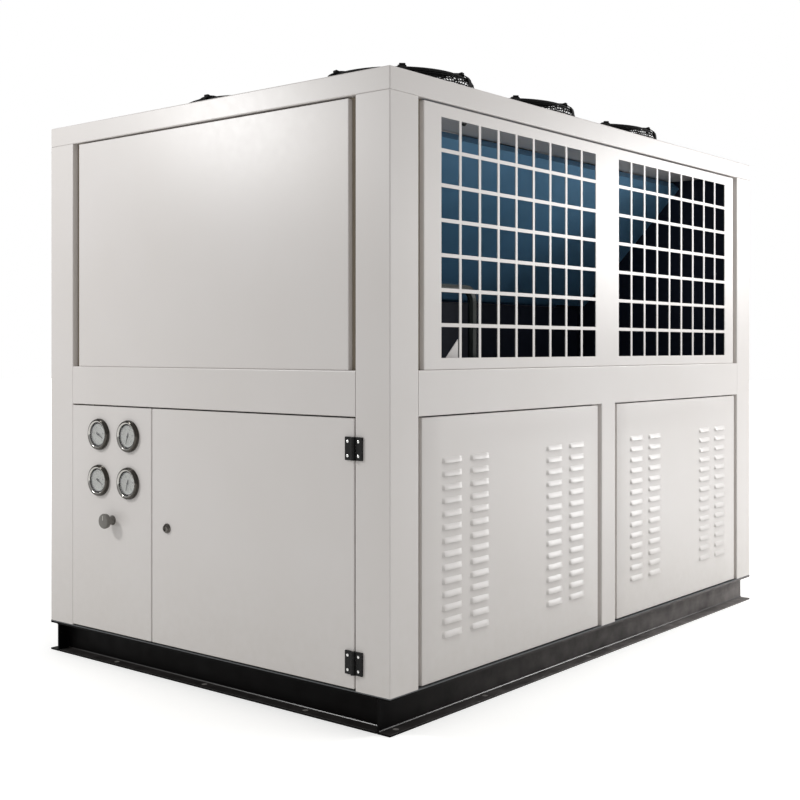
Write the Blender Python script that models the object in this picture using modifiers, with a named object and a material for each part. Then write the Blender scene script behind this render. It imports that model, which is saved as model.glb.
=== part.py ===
"""Air cooled water chiller: a sheet steel cabinet on a channel base, with six fans in its roof.

The origin lies on the ground under the middle of the cabinet. The end with the door and the
gauges looks along -X, and the long side called right looks along -Y.
"""
import math

import bmesh
import bpy
from mathutils import Matrix, Vector

# Cabinet, metres
CABINET_LENGTH = 2.825
CABINET_WIDTH = 1.848
CABINET_HEIGHT = 2.06
CAP_HEIGHT = 0.078
RAIL_HEIGHT = 0.154
RAIL_MIDDLE = 0.99
SHEET = 0.003
GAP = 0.0003

# Channel base
BASE_HEIGHT = 0.12
CHANNEL_FLANGE = 0.055
CHANNEL_WALL = 0.007

# Posts, and the grooves between them and the panels
POST_FACE = 0.15
MID_POST_FACE = 0.11
LEDGE_DEPTH = 0.025
LEDGE_SEAT = 0.012
UPPER_GROOVE = 0.035
LOWER_GROOVE = 0.024
PANEL_SETBACK = 0.005
PANEL_CHAMFER = 0.002
SEAM = 0.005
REVEAL = 0.006

# Grille windows
WINDOW_WIDTH = 1.05
WINDOW_HEIGHT = 0.838
WINDOW_SPACING = 0.176
WINDOW_SILL = 0.034
WINDOW_COLUMNS = 9
WINDOW_ROWS = 7
BAR_WIDTH = 0.013

# Pressed louvres
LOUVRE_WIDTH = 0.114
LOUVRE_HEIGHT = 0.019
LOUVRE_STAND = 0.009
LOUVRE_PITCH = 0.046
LOUVRE_ROWS = 14
LOUVRE_PAIR_GAP = 0.05
LOUVRE_PAIR_SPACING = 0.54

# Roof and fans
DECK_LIP = 0.045
SIDE_LIP = 0.33
END_LIP = 0.23
FAN_PITCH = 0.75
FAN_ROW_SHARE = 0.4383
FANS_PER_ROW = 3
NOZZLE_RADIUS = 0.285
NOZZLE_DEPTH = 0.062
NOZZLE_FLARE = 0.012
TIP_CLEARANCE = 0.009
HUB_RADIUS = 0.082
HUB_HEIGHT = 0.07
HUB_DROP = 0.012
HUB_EDGE = 0.008
BLADE_COUNT = 5
BLADE_SHEET = 0.004
BLADE_CHORD = 0.15
BLADE_ROOT_DEPTH = 0.006
BLADE_ROOT_WIDTH_SHARE = 0.55
BLADE_ROOT_RISE_SHARE = 0.55
BLADE_TIP_RISE_SHARE = 0.8
BLADE_ROOT_ANGLE = math.radians(33)
BLADE_TIP_ANGLE = math.radians(19)
BLADE_SWEEP = math.radians(16)
SHAFT_RADIUS = 0.0115
SHAFT_LENGTH = 0.05
SHAFT_CLEARANCE = 0.0007
FAN_STEPS = 24
HUB_STEPS = 12

# Fan guard
GUARD_BASE_RADIUS = 0.324
GUARD_SIDE_TAPER = 0.01
GUARD_SLOPE_RUN = 0.052
GUARD_BASE_RING = 0.034
GUARD_SHOULDER = 0.103
GUARD_TOP = 0.136
GUARD_WIRE = 0.005
GUARD_ARMS = 4
GUARD_STEPS = 16
RING_INSET = 0.006
FOOT_SIZE = 0.02
FOOT_THICKNESS = 0.004
ARM_WIDTH = 0.03
EAR_WIDTH = 0.024
EAR_DEPTH = 0.03
EAR_TOP = 0.162
EAR_SLOPE = 0.012
MOTOR_RADIUS = 0.078
MOTOR_HEIGHT = 0.11
MOTOR_EDGE = 0.01
ARM_END_SHARE = 0.9

# Coils and what carries them
COIL_THICKNESS = 0.045
COIL_TOP_DEPTH = 0.3
COIL_FOOT = 0.074
COIL_CLEARANCE = 0.027
TRAY_DROP = 0.004
TRAY_LIP = 0.03
RIDGE_WIDTH = 0.09
RIDGE_HEIGHT = 0.29
PIPE_RADIUS = 0.0175
PIPE_DEPTH = 0.2
PIPE_PLACE = 0.73
PIPE_RISE = 0.302
PIPE_BEND = 0.045
BULKHEAD_PLACE = 0.5

# Door end
GAUGE_PANEL_WIDTH = 0.5
GAUGE_RADIUS = 0.063
GAUGE_STAND = 0.016
GAUGE_BEZEL = 0.009
GAUGE_EDGE = 0.003
GAUGE_DIAL_DROP = 0.007
GAUGE_SPACING = 0.185
GAUGE_INSET = 0.18
GAUGE_ROW = 0.795
KNOB_PLACE = (0.2635, 0.457)
KNOB_RADIUS = 0.03
KNOB_FACE_SHARE = 0.84
KNOB_BACK_SHARE = 0.92
KNOB_NECK = 0.017
KNOB_STAND = 0.05
KNOB_RIM_SHARE = 0.88
KNOB_BACK_LEVEL_SHARE = 0.58
KNOB_NECK_LEVEL_SHARE = 0.44
PLATE_RADIUS = 0.0195
PLATE_THICKNESS = 0.004
SPINDLE_RADIUS = 0.005
SPINDLE_LENGTH = 0.024
LOCK_PLACE = (0.09, 0.455)
LOCK_RADIUS = 0.019
LOCK_STAND = 0.012
LOCK_FACE_SHARE = 0.8
LOCK_STEP_SHARE = 0.4
LOCK_RIM_SHARE = 0.3

# Door hinges
HINGE_HEIGHTS = (0.808, 0.097)
HINGE_LEAF = 0.038
HINGE_TALL = 0.078
HINGE_THICKNESS = 0.007
HINGE_STAND = 0.0085
KNUCKLE_RADIUS = 0.008
KNUCKLE_MIDDLE = 0.025
KNUCKLE_GAP = 0.001
KNUCKLE_CLEARANCE = 0.003
WEB_OVERLAP = 0.002
WEB_START = 0.001
WEB_INSET = 0.0005
PIN_RADIUS = 0.003
PIN_CLEARANCE = 0.0006

# Places that follow from the sizes
HALF_LENGTH = CABINET_LENGTH / 2
HALF_WIDTH = CABINET_WIDTH / 2
ROOF_TOP = BASE_HEIGHT + CABINET_HEIGHT
CAP_BOTTOM = ROOF_TOP - CAP_HEIGHT
FLOOR_TOP = BASE_HEIGHT + GAP + SHEET
POST_BOTTOM = FLOOR_TOP + GAP
POST_TOP = CAP_BOTTOM - GAP
RAIL_BOTTOM = BASE_HEIGHT + RAIL_MIDDLE - RAIL_HEIGHT / 2
RAIL_TOP = RAIL_BOTTOM + RAIL_HEIGHT
LEDGE_WIDTH = UPPER_GROOVE + LEDGE_SEAT
TRAY_DEPTH = LEDGE_DEPTH - GAP
UPPER_PANEL_BOTTOM = RAIL_TOP + GAP
UPPER_PANEL_HEIGHT = CAP_BOTTOM - REVEAL - UPPER_PANEL_BOTTOM
LOWER_PANEL_BOTTOM = POST_BOTTOM + SEAM
LOWER_PANEL_HEIGHT = RAIL_BOTTOM - SEAM - LOWER_PANEL_BOTTOM
LOWER_ZONE_HALF = HALF_WIDTH - POST_FACE
FAN_ROW = HALF_WIDTH * FAN_ROW_SHARE
GUARD_SHOULDER_RADIUS = GUARD_BASE_RADIUS - GUARD_SIDE_TAPER
GUARD_TOP_RADIUS = GUARD_SHOULDER_RADIUS - GUARD_SLOPE_RUN

# The sides of the cabinet: the turn that brings a piece from the right side, and its distance
SIDES = {
    "right": (0.0, HALF_WIDTH),
    "rear": (math.pi / 2, HALF_LENGTH),
    "left": (math.pi, HALF_WIDTH),
    "front": (-math.pi / 2, HALF_LENGTH),
}

PARTS = bpy.data.collections.new("air_cooled_chiller")
CUTTERS = bpy.data.collections.new("cutters")


def clear_scene():
    """Remove what the file opened with, and link the two collections."""
    for obj in list(bpy.data.objects):
        bpy.data.objects.remove(obj)
    bpy.context.scene.collection.children.link(PARTS)
    bpy.context.scene.collection.children.link(CUTTERS)


def finish(name, colour, roughness, metallic=0.0):
    """A Principled material in a plain sRGB colour."""
    made = bpy.data.materials.new(name)
    made.use_nodes = True
    shader = made.node_tree.nodes["Principled BSDF"]
    linear = [(c / 12.92) if c <= 0.04045 else ((c + 0.055) / 1.055) ** 2.4 for c in colour]
    shader.inputs["Base Color"].default_value = (*linear, 1.0)
    shader.inputs["Roughness"].default_value = roughness
    shader.inputs["Metallic"].default_value = metallic
    return made


def place(name, mesh, material, location=(0, 0, 0), rotation=(0, 0, 0), parent=None):
    """Put one named piece in the parts collection."""
    if not mesh.materials:
        mesh.materials.append(material)
    obj = bpy.data.objects.new(name, mesh)
    PARTS.objects.link(obj)
    obj.location = location
    obj.rotation_euler = rotation
    obj.parent = parent
    return obj


def pivot(name, location, rotation=(0, 0, 0)):
    """An empty on the axis of a joint, which carries the pieces that move with it."""
    empty = bpy.data.objects.new(name, None)
    PARTS.objects.link(empty)
    empty.location = location
    empty.rotation_euler = rotation
    return empty


def on_side(side, along, depth, height):
    """The place on a side of the cabinet, behind its face by depth."""
    turn, distance = SIDES[side]
    return Matrix.Rotation(turn, 3, "Z") @ Vector((along, depth - distance, height))


def place_on_side(name, mesh, material, side, along, depth, height, parent=None):
    """Put a piece that was modelled looking along -Y on a side of the cabinet."""
    rotation = (0, 0, SIDES[side][0])
    return place(name, mesh, material, on_side(side, along, depth, height), rotation, parent)


def to_mesh(name, bm):
    """Write a bmesh out as a closed mesh with its faces pointing out."""
    bmesh.ops.recalc_face_normals(bm, faces=bm.faces)
    mesh = bpy.data.meshes.new(name)
    bm.to_mesh(mesh)
    bm.free()
    return mesh


def rounded(mesh):
    """Shade a round piece smooth between its sharp edges."""
    mesh.shade_smooth()
    mesh.set_sharp_from_angle(angle=math.radians(40))
    return mesh


def baked(data, modifiers=()):
    """The mesh of a curve, or of a mesh with modifiers given as a type and its settings."""
    obj = bpy.data.objects.new("work", data)
    CUTTERS.objects.link(obj)
    for kind, settings in modifiers:
        modifier = obj.modifiers.new(kind.title(), kind)
        for key, value in settings.items():
            setattr(modifier, key, value)
    bpy.context.view_layer.update()
    graph = bpy.context.evaluated_depsgraph_get()
    mesh = bpy.data.meshes.new_from_object(obj.evaluated_get(graph))
    bpy.data.objects.remove(obj)
    bm = bmesh.new()
    bm.from_mesh(mesh)
    bmesh.ops.remove_doubles(bm, verts=bm.verts, dist=0.00001)
    return to_mesh(data.name, bm)


def thickened(bm, name, thickness=SHEET):
    """An open surface given its sheet thickness, behind the way that its faces look."""
    mesh = bpy.data.meshes.new(name)
    bm.to_mesh(mesh)
    bm.free()
    settings = {"thickness": thickness, "offset": -1.0, "use_even_offset": True}
    return baked(mesh, [("SOLIDIFY", settings)])


def combined(base, tool, operation="UNION"):
    """The Boolean of two meshes that share one frame."""
    cutter = bpy.data.objects.new("cutter", tool)
    CUTTERS.objects.link(cutter)
    cutter.hide_render = True
    cutter.display_type = "WIRE"
    settings = {"operation": operation, "solver": "EXACT", "object": cutter}
    mesh = baked(base, [("BOOLEAN", settings)])
    bpy.data.objects.remove(cutter)
    return mesh


def gathered(name, meshes, matrices=(Matrix(),)):
    """Copies of meshes at the given places, as one mesh of loose bodies."""
    bm = bmesh.new()
    for matrix in matrices:
        for mesh in meshes:
            before = len(bm.verts)
            bm.from_mesh(mesh)
            bm.verts.ensure_lookup_table()
            bmesh.ops.transform(bm, matrix=matrix, verts=bm.verts[before:])
    return to_mesh(name, bm)


def box_mesh(name, low, high, chamfer=0.0):
    """A box between two corners."""
    bm = bmesh.new()
    bmesh.ops.create_cube(bm, size=1.0)
    bmesh.ops.scale(bm, vec=Vector(high) - Vector(low), verts=bm.verts)
    bmesh.ops.translate(bm, vec=(Vector(high) + Vector(low)) / 2, verts=bm.verts)
    if chamfer:
        bmesh.ops.bevel(bm, geom=bm.edges, offset=chamfer, segments=1, profile=0.5,
                        affect="EDGES", material=-1)
    return to_mesh(name, bm)


def cylinder_mesh(name, radius, low, high, steps):
    """An upright cylinder between two heights."""
    bm = bmesh.new()
    middle = Matrix.Translation((0, 0, (low + high) / 2))
    bmesh.ops.create_cone(bm, cap_ends=True, segments=steps, radius1=radius, radius2=radius,
                          depth=high - low, matrix=middle)
    return to_mesh(name, bm)


def turned_mesh(name, profile, steps, closed=False):
    """A profile of radius and height, turned about the Z axis."""
    bm = bmesh.new()
    verts = [bm.verts.new((radius, 0, height)) for radius, height in profile]
    pairs = list(zip(verts, verts[1:])) + ([(verts[-1], verts[0])] if closed else [])
    for pair in pairs:
        bm.edges.new(pair)
    mesh = bpy.data.meshes.new(name)
    bm.to_mesh(mesh)
    bm.free()
    settings = {"steps": steps, "render_steps": steps, "use_merge_vertices": True,
                "merge_threshold": 0.00005}
    return rounded(baked(mesh, [("SCREW", settings)]))


def tube_mesh(name, points, radius, resolution):
    """A round tube or wire through points, with closed ends."""
    curve = bpy.data.curves.new(name, "CURVE")
    curve.dimensions = "3D"
    curve.bevel_depth = radius
    curve.bevel_resolution = resolution
    curve.use_fill_caps = True
    spline = curve.splines.new("POLY")
    spline.points.add(len(points) - 1)
    for point, place_on_wire in zip(spline.points, points):
        point.co = (*place_on_wire, 1)
    return rounded(baked(curve))


def folded_mesh(name, path, start, end, axis="Z", thickness=SHEET):
    """A sheet folded along a path and drawn along an axis, its metal to the right of the path.

    The path holds x, y pairs for the Z axis, y, z pairs for X and z, x pairs for Y.
    """
    bm = bmesh.new()
    verts = [bm.verts.new((a, b, start)) for a, b in path]
    edges = [bm.edges.new(pair) for pair in zip(verts, verts[1:])]
    drawn = bmesh.ops.extrude_edge_only(bm, edges=edges)["geom"]
    moved = [item for item in drawn if isinstance(item, bmesh.types.BMVert)]
    bmesh.ops.translate(bm, vec=(0, 0, end - start), verts=moved)
    bm.normal_update()
    bm.faces.ensure_lookup_table()
    along = Vector(path[1]) - Vector(path[0])
    first = min(bm.faces, key=lambda face: (face.calc_center_median().to_2d() - Vector(path[0])
                                            - along / 2).length)
    if first.normal.dot(Vector((-along.y, along.x, 0))) < 0:
        bmesh.ops.reverse_faces(bm, faces=bm.faces)
    turns = {"Z": Matrix(), "X": Matrix(((0, 0, 1, 0), (1, 0, 0, 0), (0, 1, 0, 0), (0, 0, 0, 1))),
             "Y": Matrix(((0, 1, 0, 0), (0, 0, 1, 0), (1, 0, 0, 0), (0, 0, 0, 1)))}
    bmesh.ops.transform(bm, matrix=turns[axis], verts=bm.verts)
    return thickened(bm, name, thickness)


def tray_mesh(name, width, height, depth):
    """A sheet metal tray that looks along -Y, with its edges turned back."""
    bm = bmesh.new()
    bmesh.ops.create_cube(bm, size=1.0)
    bmesh.ops.scale(bm, vec=(width, depth, height), verts=bm.verts)
    bmesh.ops.translate(bm, vec=(0, depth / 2, height / 2), verts=bm.verts)
    bm.normal_update()
    back = [face for face in bm.faces if face.normal.y > 0.5]
    bmesh.ops.delete(bm, geom=back, context="FACES_ONLY")
    front = [edge for edge in bm.edges if all(vert.co.y < GAP for vert in edge.verts)]
    bmesh.ops.bevel(bm, geom=front, offset=PANEL_CHAMFER, segments=1, profile=0.5,
                    affect="EDGES", material=-1)
    return thickened(bm, name)


def add_base(black):
    """The channel base: long beams with flanges outwards, and end and cross members between."""
    outline = [(BASE_HEIGHT, 0), (BASE_HEIGHT, CHANNEL_FLANGE), (0, CHANNEL_FLANGE), (0, 0)]
    lengths = {"right": HALF_LENGTH, "left": HALF_LENGTH}
    inner = HALF_WIDTH - CHANNEL_FLANGE - CHANNEL_WALL / 2 - GAP
    lengths.update({"front": inner, "rear": inner})
    for side, half in lengths.items():
        mesh = channel_mesh("base_beam", outline, half)
        place_on_side("base_beam_" + side, mesh, black, side, 0, 0, 0)
    outline = [(height, depth - CHANNEL_FLANGE / 2) for height, depth in outline]
    cross = channel_mesh("base_cross_member", outline, inner)
    place("base_cross_member", cross, black, rotation=(0, 0, math.pi / 2))


def channel_mesh(name, outline, half_length):
    """A channel along X with its flanges towards -Y, from an outline of height and depth."""
    path = [(depth, height) for height, depth in outline]
    bm = bmesh.new()
    verts = [bm.verts.new((-half_length, depth, height)) for depth, height in path]
    edges = [bm.edges.new(pair) for pair in zip(verts, verts[1:])]
    drawn = bmesh.ops.extrude_edge_only(bm, edges=edges)["geom"]
    moved = [item for item in drawn if isinstance(item, bmesh.types.BMVert)]
    bmesh.ops.translate(bm, vec=(2 * half_length, 0, 0), verts=moved)
    bmesh.ops.recalc_face_normals(bm, faces=bm.faces)
    web = [face for face in bm.faces if abs(face.normal.y) > 0.5]
    if web[0].normal.y < 0:
        bmesh.ops.reverse_faces(bm, faces=bm.faces)
    return thickened(bm, name, CHANNEL_WALL)


def add_floor(grey):
    """The floor sheet of the cabinet, on the base."""
    low = (-HALF_LENGTH, -HALF_WIDTH, BASE_HEIGHT + GAP)
    place("floor_pan", box_mesh("floor_pan", low, (HALF_LENGTH, HALF_WIDTH, FLOOR_TOP)), grey)


def add_posts(paint):
    """Four corner posts, folded with a stepped ledge that the panels sit on."""
    ledge = POST_FACE + LEDGE_WIDTH
    half = [(0, POST_FACE), (LEDGE_DEPTH, POST_FACE), (LEDGE_DEPTH, ledge)]
    path = [(b, a) for a, b in reversed(half)] + [(0, 0)] + half
    mesh = folded_mesh("corner_post", path, POST_BOTTOM, POST_TOP)
    corners = [(-1, -1), (1, -1), (1, 1), (-1, 1)]
    for number, (along, across) in enumerate(corners):
        corner = (along * HALF_LENGTH, across * HALF_WIDTH, 0)
        turn = (0, 0, number * math.pi / 2)
        place(f"corner_post_{number + 1}", mesh, paint, corner, turn)


def rail_mesh(name, half_length):
    """A mid rail along X: a shallow channel with its flanges turned into the cabinet."""
    path = [(TRAY_DEPTH, RAIL_TOP), (0, RAIL_TOP), (0, RAIL_BOTTOM), (TRAY_DEPTH, RAIL_BOTTOM)]
    return folded_mesh(name, path[::-1], -half_length, half_length, "X")


def add_rails(paint):
    """The mid rails of the two ends, and those of the long sides with their middle posts."""
    clear = POST_FACE + GAP
    side_rail = rail_mesh("mid_frame", HALF_LENGTH - clear)
    half = MID_POST_FACE / 2
    ledge = half + LOWER_GROOVE + LEDGE_SEAT
    path = [(ledge, LEDGE_DEPTH), (half, LEDGE_DEPTH), (half, 0)]
    path += [(-along, depth) for along, depth in reversed(path)]
    middle = folded_mesh("mid_post", path, POST_BOTTOM, RAIL_BOTTOM + SHEET / 2)
    side_rail = combined(side_rail, middle)
    end_rail = rail_mesh("end_rail", HALF_WIDTH - clear)
    for side in ("right", "left"):
        place_on_side("mid_frame_" + side, side_rail, paint, side, 0, 0, 0)
    for side in ("front", "rear"):
        place_on_side("end_rail_" + side, end_rail, paint, side, 0, 0, 0)


def add_upper_end_panels(paint):
    """The plain upper panels of the two ends, set back from the posts."""
    width = CABINET_WIDTH - 2 * (POST_FACE + UPPER_GROOVE)
    mesh = tray_mesh("upper_panel", width, UPPER_PANEL_HEIGHT, TRAY_DEPTH - PANEL_SETBACK)
    for side in ("front", "rear"):
        place_on_side("upper_panel_" + side, mesh, paint, side, 0, PANEL_SETBACK, UPPER_PANEL_BOTTOM)


def window_cutters(depth):
    """The square holes of both windows of a grille panel, as one mesh of boxes."""
    pitch_x = WINDOW_WIDTH / WINDOW_COLUMNS
    pitch_z = WINDOW_HEIGHT / WINDOW_ROWS
    half = Vector((pitch_x - BAR_WIDTH, 2 * depth, pitch_z - BAR_WIDTH)) / 2
    hole = box_mesh("hole", -half, half)
    left_edge = WINDOW_SPACING / 2
    places = []
    for window in (-1, 1):
        for column in range(WINDOW_COLUMNS):
            for row in range(WINDOW_ROWS):
                along = window * (left_edge + (column + 0.5) * pitch_x)
                height = WINDOW_SILL + (row + 0.5) * pitch_z
                places.append(Matrix.Translation((along, 0, height)))
    return gathered("window_holes", [hole], places)


def add_grille_panels(paint):
    """One pierced sheet on each long side, with two windows of square mesh."""
    width = CABINET_LENGTH - 2 * (POST_FACE + UPPER_GROOVE)
    depth = TRAY_DEPTH - PANEL_SETBACK
    mesh = tray_mesh("grille_panel", width, UPPER_PANEL_HEIGHT, depth)
    mesh = combined(mesh, window_cutters(depth), "DIFFERENCE")
    for side in ("right", "left"):
        place_on_side("grille_panel_" + side, mesh, paint, side, 0, PANEL_SETBACK, UPPER_PANEL_BOTTOM)


def louvre_places(height):
    """Centres of the louvres of one panel, as pairs of columns in level rows."""
    half_pair = (LOUVRE_WIDTH + LOUVRE_PAIR_GAP) / 2
    pairs = (-LOUVRE_PAIR_SPACING / 2, LOUVRE_PAIR_SPACING / 2)
    columns = [middle + beside for middle in pairs for beside in (-half_pair, half_pair)]
    first = height / 2 - LOUVRE_PITCH * (LOUVRE_ROWS - 1) / 2
    rows = [first + LOUVRE_PITCH * row for row in range(LOUVRE_ROWS)]
    return sorted(columns), rows


def louvre_panel_mesh(width, height, depth):
    """A lined panel along -Y whose face is pressed out in louvres that open downwards."""
    columns, rows = louvre_places(height)
    bm = bmesh.new()
    bmesh.ops.create_grid(bm, x_segments=1, y_segments=1, size=0.5)
    bmesh.ops.scale(bm, vec=(width, height, 1), verts=bm.verts)
    upright = Matrix.Translation((0, 0, height / 2)) @ Matrix.Rotation(math.pi / 2, 4, "X")
    bmesh.ops.transform(bm, matrix=upright, verts=bm.verts)
    for along in columns:
        for edge in (-LOUVRE_WIDTH / 2, LOUVRE_WIDTH / 2):
            cut_face(bm, (along + edge, 0, 0), (1, 0, 0))
    for level in rows:
        for edge in (-LOUVRE_HEIGHT / 2, LOUVRE_HEIGHT / 2):
            cut_face(bm, (0, 0, level + edge), (0, 0, 1))
    cells = [face for face in bm.faces if is_louvre(face, columns, rows)]
    hoods = bmesh.ops.extrude_discrete_faces(bm, faces=cells)["faces"]
    for hood in hoods:
        level = hood.calc_center_median().z
        lower = [vert for vert in hood.verts if vert.co.z < level]
        bmesh.ops.translate(bm, vec=(0, -LOUVRE_STAND, 0), verts=lower)
    bmesh.ops.remove_doubles(bm, verts=bm.verts, dist=0.00001)
    rim = [edge for edge in bm.edges if edge.is_boundary]
    drawn = bmesh.ops.extrude_edge_only(bm, edges=rim)["geom"]
    bmesh.ops.translate(bm, vec=(0, depth, 0),
                        verts=[item for item in drawn if isinstance(item, bmesh.types.BMVert)])
    back = [item for item in drawn if isinstance(item, bmesh.types.BMEdge) and item.is_boundary]
    bmesh.ops.edgenet_fill(bm, edges=back)
    return to_mesh("louvre_panel", bm)


def cut_face(bm, point, normal):
    """Cut the face of a panel along a straight line."""
    geometry = bm.verts[:] + bm.edges[:] + bm.faces[:]
    bmesh.ops.bisect_plane(bm, geom=geometry, plane_co=point, plane_no=normal)


def is_louvre(face, columns, rows):
    """True for a cell of the face that is pressed out as a louvre."""
    centre = face.calc_center_median()
    beside = min(abs(centre.x - along) for along in columns)
    above = min(abs(centre.z - level) for level in rows)
    return beside < LOUVRE_WIDTH / 4 and above < LOUVRE_HEIGHT / 4


def add_louvre_panels(paint):
    """Two louvred panels on each long side, between the corner and middle posts."""
    outer = HALF_LENGTH - POST_FACE - LOWER_GROOVE
    inner = MID_POST_FACE / 2 + LOWER_GROOVE
    mesh = louvre_panel_mesh(outer - inner, LOWER_PANEL_HEIGHT, TRAY_DEPTH - PANEL_SETBACK)
    middle = (outer + inner) / 2
    number = 1
    for side in ("right", "left"):
        for along in (-middle, middle):
            place_on_side(f"louvre_panel_{number}", mesh, paint, side, along, PANEL_SETBACK,
                          LOWER_PANEL_BOTTOM)
            number += 1


def add_rear_lower_panel(paint):
    """The plain lower panel of the end that faces away from the door."""
    width = 2 * (LOWER_ZONE_HALF - SEAM)
    mesh = tray_mesh("lower_panel_rear", width, LOWER_PANEL_HEIGHT, TRAY_DEPTH)
    place_on_side("lower_panel_rear", mesh, paint, "rear", 0, 0, LOWER_PANEL_BOTTOM)


def add_gauge_panel(paint):
    """The fixed panel beside the door, which carries the gauges and the switch."""
    middle = GAUGE_PANEL_WIDTH / 2 - LOWER_ZONE_HALF + GAP
    mesh = tray_mesh("gauge_panel", GAUGE_PANEL_WIDTH, LOWER_PANEL_HEIGHT, TRAY_DEPTH)
    place_on_side("gauge_panel", mesh, paint, "front", middle, 0, LOWER_PANEL_BOTTOM)


def add_gauges(steel):
    """Four round pressure gauges: a case with a raised bezel round a sunk dial."""
    inner = GAUGE_RADIUS - GAUGE_BEZEL
    dial = GAUGE_STAND - GAUGE_DIAL_DROP
    profile = [(0, dial), (inner - GAUGE_EDGE, dial), (inner, GAUGE_STAND),
               (GAUGE_RADIUS - GAUGE_EDGE, GAUGE_STAND), (GAUGE_RADIUS, GAUGE_STAND - GAUGE_EDGE),
               (GAUGE_RADIUS, 0), (0, 0)]
    mesh = turned_mesh("gauge", profile, 20)
    number = 1
    for level in (GAUGE_ROW, GAUGE_ROW - GAUGE_SPACING):
        for across in (0, GAUGE_SPACING):
            along = GAUGE_INSET + across - GAP - LOWER_ZONE_HALF
            spot = on_side("front", along, -GAP, BASE_HEIGHT + level)
            place(f"gauge_{number}", mesh, steel, spot, (0, -math.pi / 2, 0))
            number += 1


def add_switch(plastic):
    """The rotary switch: a fixed plate with a spindle, and a tapered knob that turns on it."""
    top = PLATE_THICKNESS + SPINDLE_LENGTH
    profile = [(0, top), (SPINDLE_RADIUS, top), (SPINDLE_RADIUS, PLATE_THICKNESS),
               (PLATE_RADIUS, PLATE_THICKNESS), (PLATE_RADIUS, 0), (0, 0)]
    plate = turned_mesh("switch_plate", profile, 16)
    bore = SPINDLE_RADIUS + PIN_CLEARANCE
    low = PLATE_THICKNESS + PIN_CLEARANCE
    deep = top + PIN_CLEARANCE
    profile = [(0, KNOB_STAND), (KNOB_RADIUS * KNOB_FACE_SHARE, KNOB_STAND),
               (KNOB_RADIUS, KNOB_STAND * KNOB_RIM_SHARE),
               (KNOB_RADIUS * KNOB_BACK_SHARE, KNOB_STAND * KNOB_BACK_LEVEL_SHARE),
               (KNOB_NECK, KNOB_STAND * KNOB_NECK_LEVEL_SHARE), (KNOB_NECK, low), (bore, low),
               (bore, deep), (0, deep)]
    knob = turned_mesh("switch_knob", profile, 16)
    spot = on_side("front", KNOB_PLACE[0] - LOWER_ZONE_HALF, -GAP, BASE_HEIGHT + KNOB_PLACE[1])
    lie = (0, -math.pi / 2, 0)
    place("switch_plate", plate, plastic, spot, lie)
    axis = pivot("knob_axis", spot, lie)
    place("switch_knob", knob, plastic, parent=axis)


def door_edges():
    """Distances along the front, from its middle, of the door's hinge edge and free edge."""
    return LOWER_ZONE_HALF - SEAM, GAUGE_PANEL_WIDTH + SEAM - LOWER_ZONE_HALF


def add_door(paint, chrome):
    """The hinged door, with its round lock, on an empty that lies on the hinge axis."""
    hinged, free = door_edges()
    hinge_line = LOWER_ZONE_HALF - SEAM / 2
    spot = on_side("front", hinge_line, -HINGE_STAND, 0)
    axis = pivot("door_axis", spot, (0, 0, SIDES["front"][0]))
    mesh = tray_mesh("door", hinged - free, LOWER_PANEL_HEIGHT, TRAY_DEPTH - SEAM)
    middle = (hinged + free) / 2 - hinge_line
    place("door", mesh, paint, (middle, HINGE_STAND, LOWER_PANEL_BOTTOM), parent=axis)
    face = LOCK_RADIUS * LOCK_FACE_SHARE
    profile = [(0, LOCK_STAND), (face, LOCK_STAND), (face, LOCK_STAND * LOCK_STEP_SHARE),
               (LOCK_RADIUS, LOCK_STAND * LOCK_RIM_SHARE), (LOCK_RADIUS, 0), (0, 0)]
    lock = turned_mesh("door_lock", profile, 16)
    place("door_lock", lock, chrome, (free + LOCK_PLACE[0] - hinge_line, HINGE_STAND - GAP,
                                      BASE_HEIGHT + LOCK_PLACE[1]), (math.pi / 2, 0, 0), axis)
    return axis


def leaf_plate(side):
    """The flat of a hinge leaf, on one side of the pin, down to the face that it is screwed to."""
    back = HINGE_STAND - GAP
    near, far = KNUCKLE_RADIUS + KNUCKLE_CLEARANCE, HINGE_LEAF
    low = (min(side * near, side * far), back - HINGE_THICKNESS, -HINGE_TALL / 2)
    high = (max(side * near, side * far), back, HINGE_TALL / 2)
    return box_mesh("leaf_plate", low, high)


def knuckle(side, low, high):
    """A round knuckle between two heights, with the web that ties it to its leaf."""
    barrel = cylinder_mesh("knuckle", KNUCKLE_RADIUS, low, high, 12)
    edge = side * (KNUCKLE_RADIUS + KNUCKLE_CLEARANCE + WEB_OVERLAP)
    inner = side * (PIN_RADIUS + PIN_CLEARANCE + WEB_START)
    back = HINGE_STAND - GAP
    web = box_mesh("web", (min(inner, edge), back - HINGE_THICKNESS + WEB_INSET, low),
                   (max(inner, edge), back - WEB_INSET, high))
    return combined(barrel, web)


def post_leaf_mesh():
    """The fixed hinge leaf: upper and lower knuckles with the pin through them."""
    clear = KNUCKLE_MIDDLE / 2 + KNUCKLE_GAP
    mesh = combined(leaf_plate(1), knuckle(1, clear, HINGE_TALL / 2 - GAP))
    mesh = combined(mesh, knuckle(1, GAP - HINGE_TALL / 2, -clear))
    reach = HINGE_TALL / 2 - WEB_OVERLAP
    return combined(mesh, cylinder_mesh("pin", PIN_RADIUS, -reach, reach, 12))


def door_leaf_mesh():
    """The moving hinge leaf: one middle knuckle, bored for the pin."""
    half = KNUCKLE_MIDDLE / 2
    mesh = combined(leaf_plate(-1), knuckle(-1, -half, half))
    bore = cylinder_mesh("bore", PIN_RADIUS + PIN_CLEARANCE, -HINGE_TALL, HINGE_TALL, 24)
    return combined(mesh, bore, "DIFFERENCE")


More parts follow.
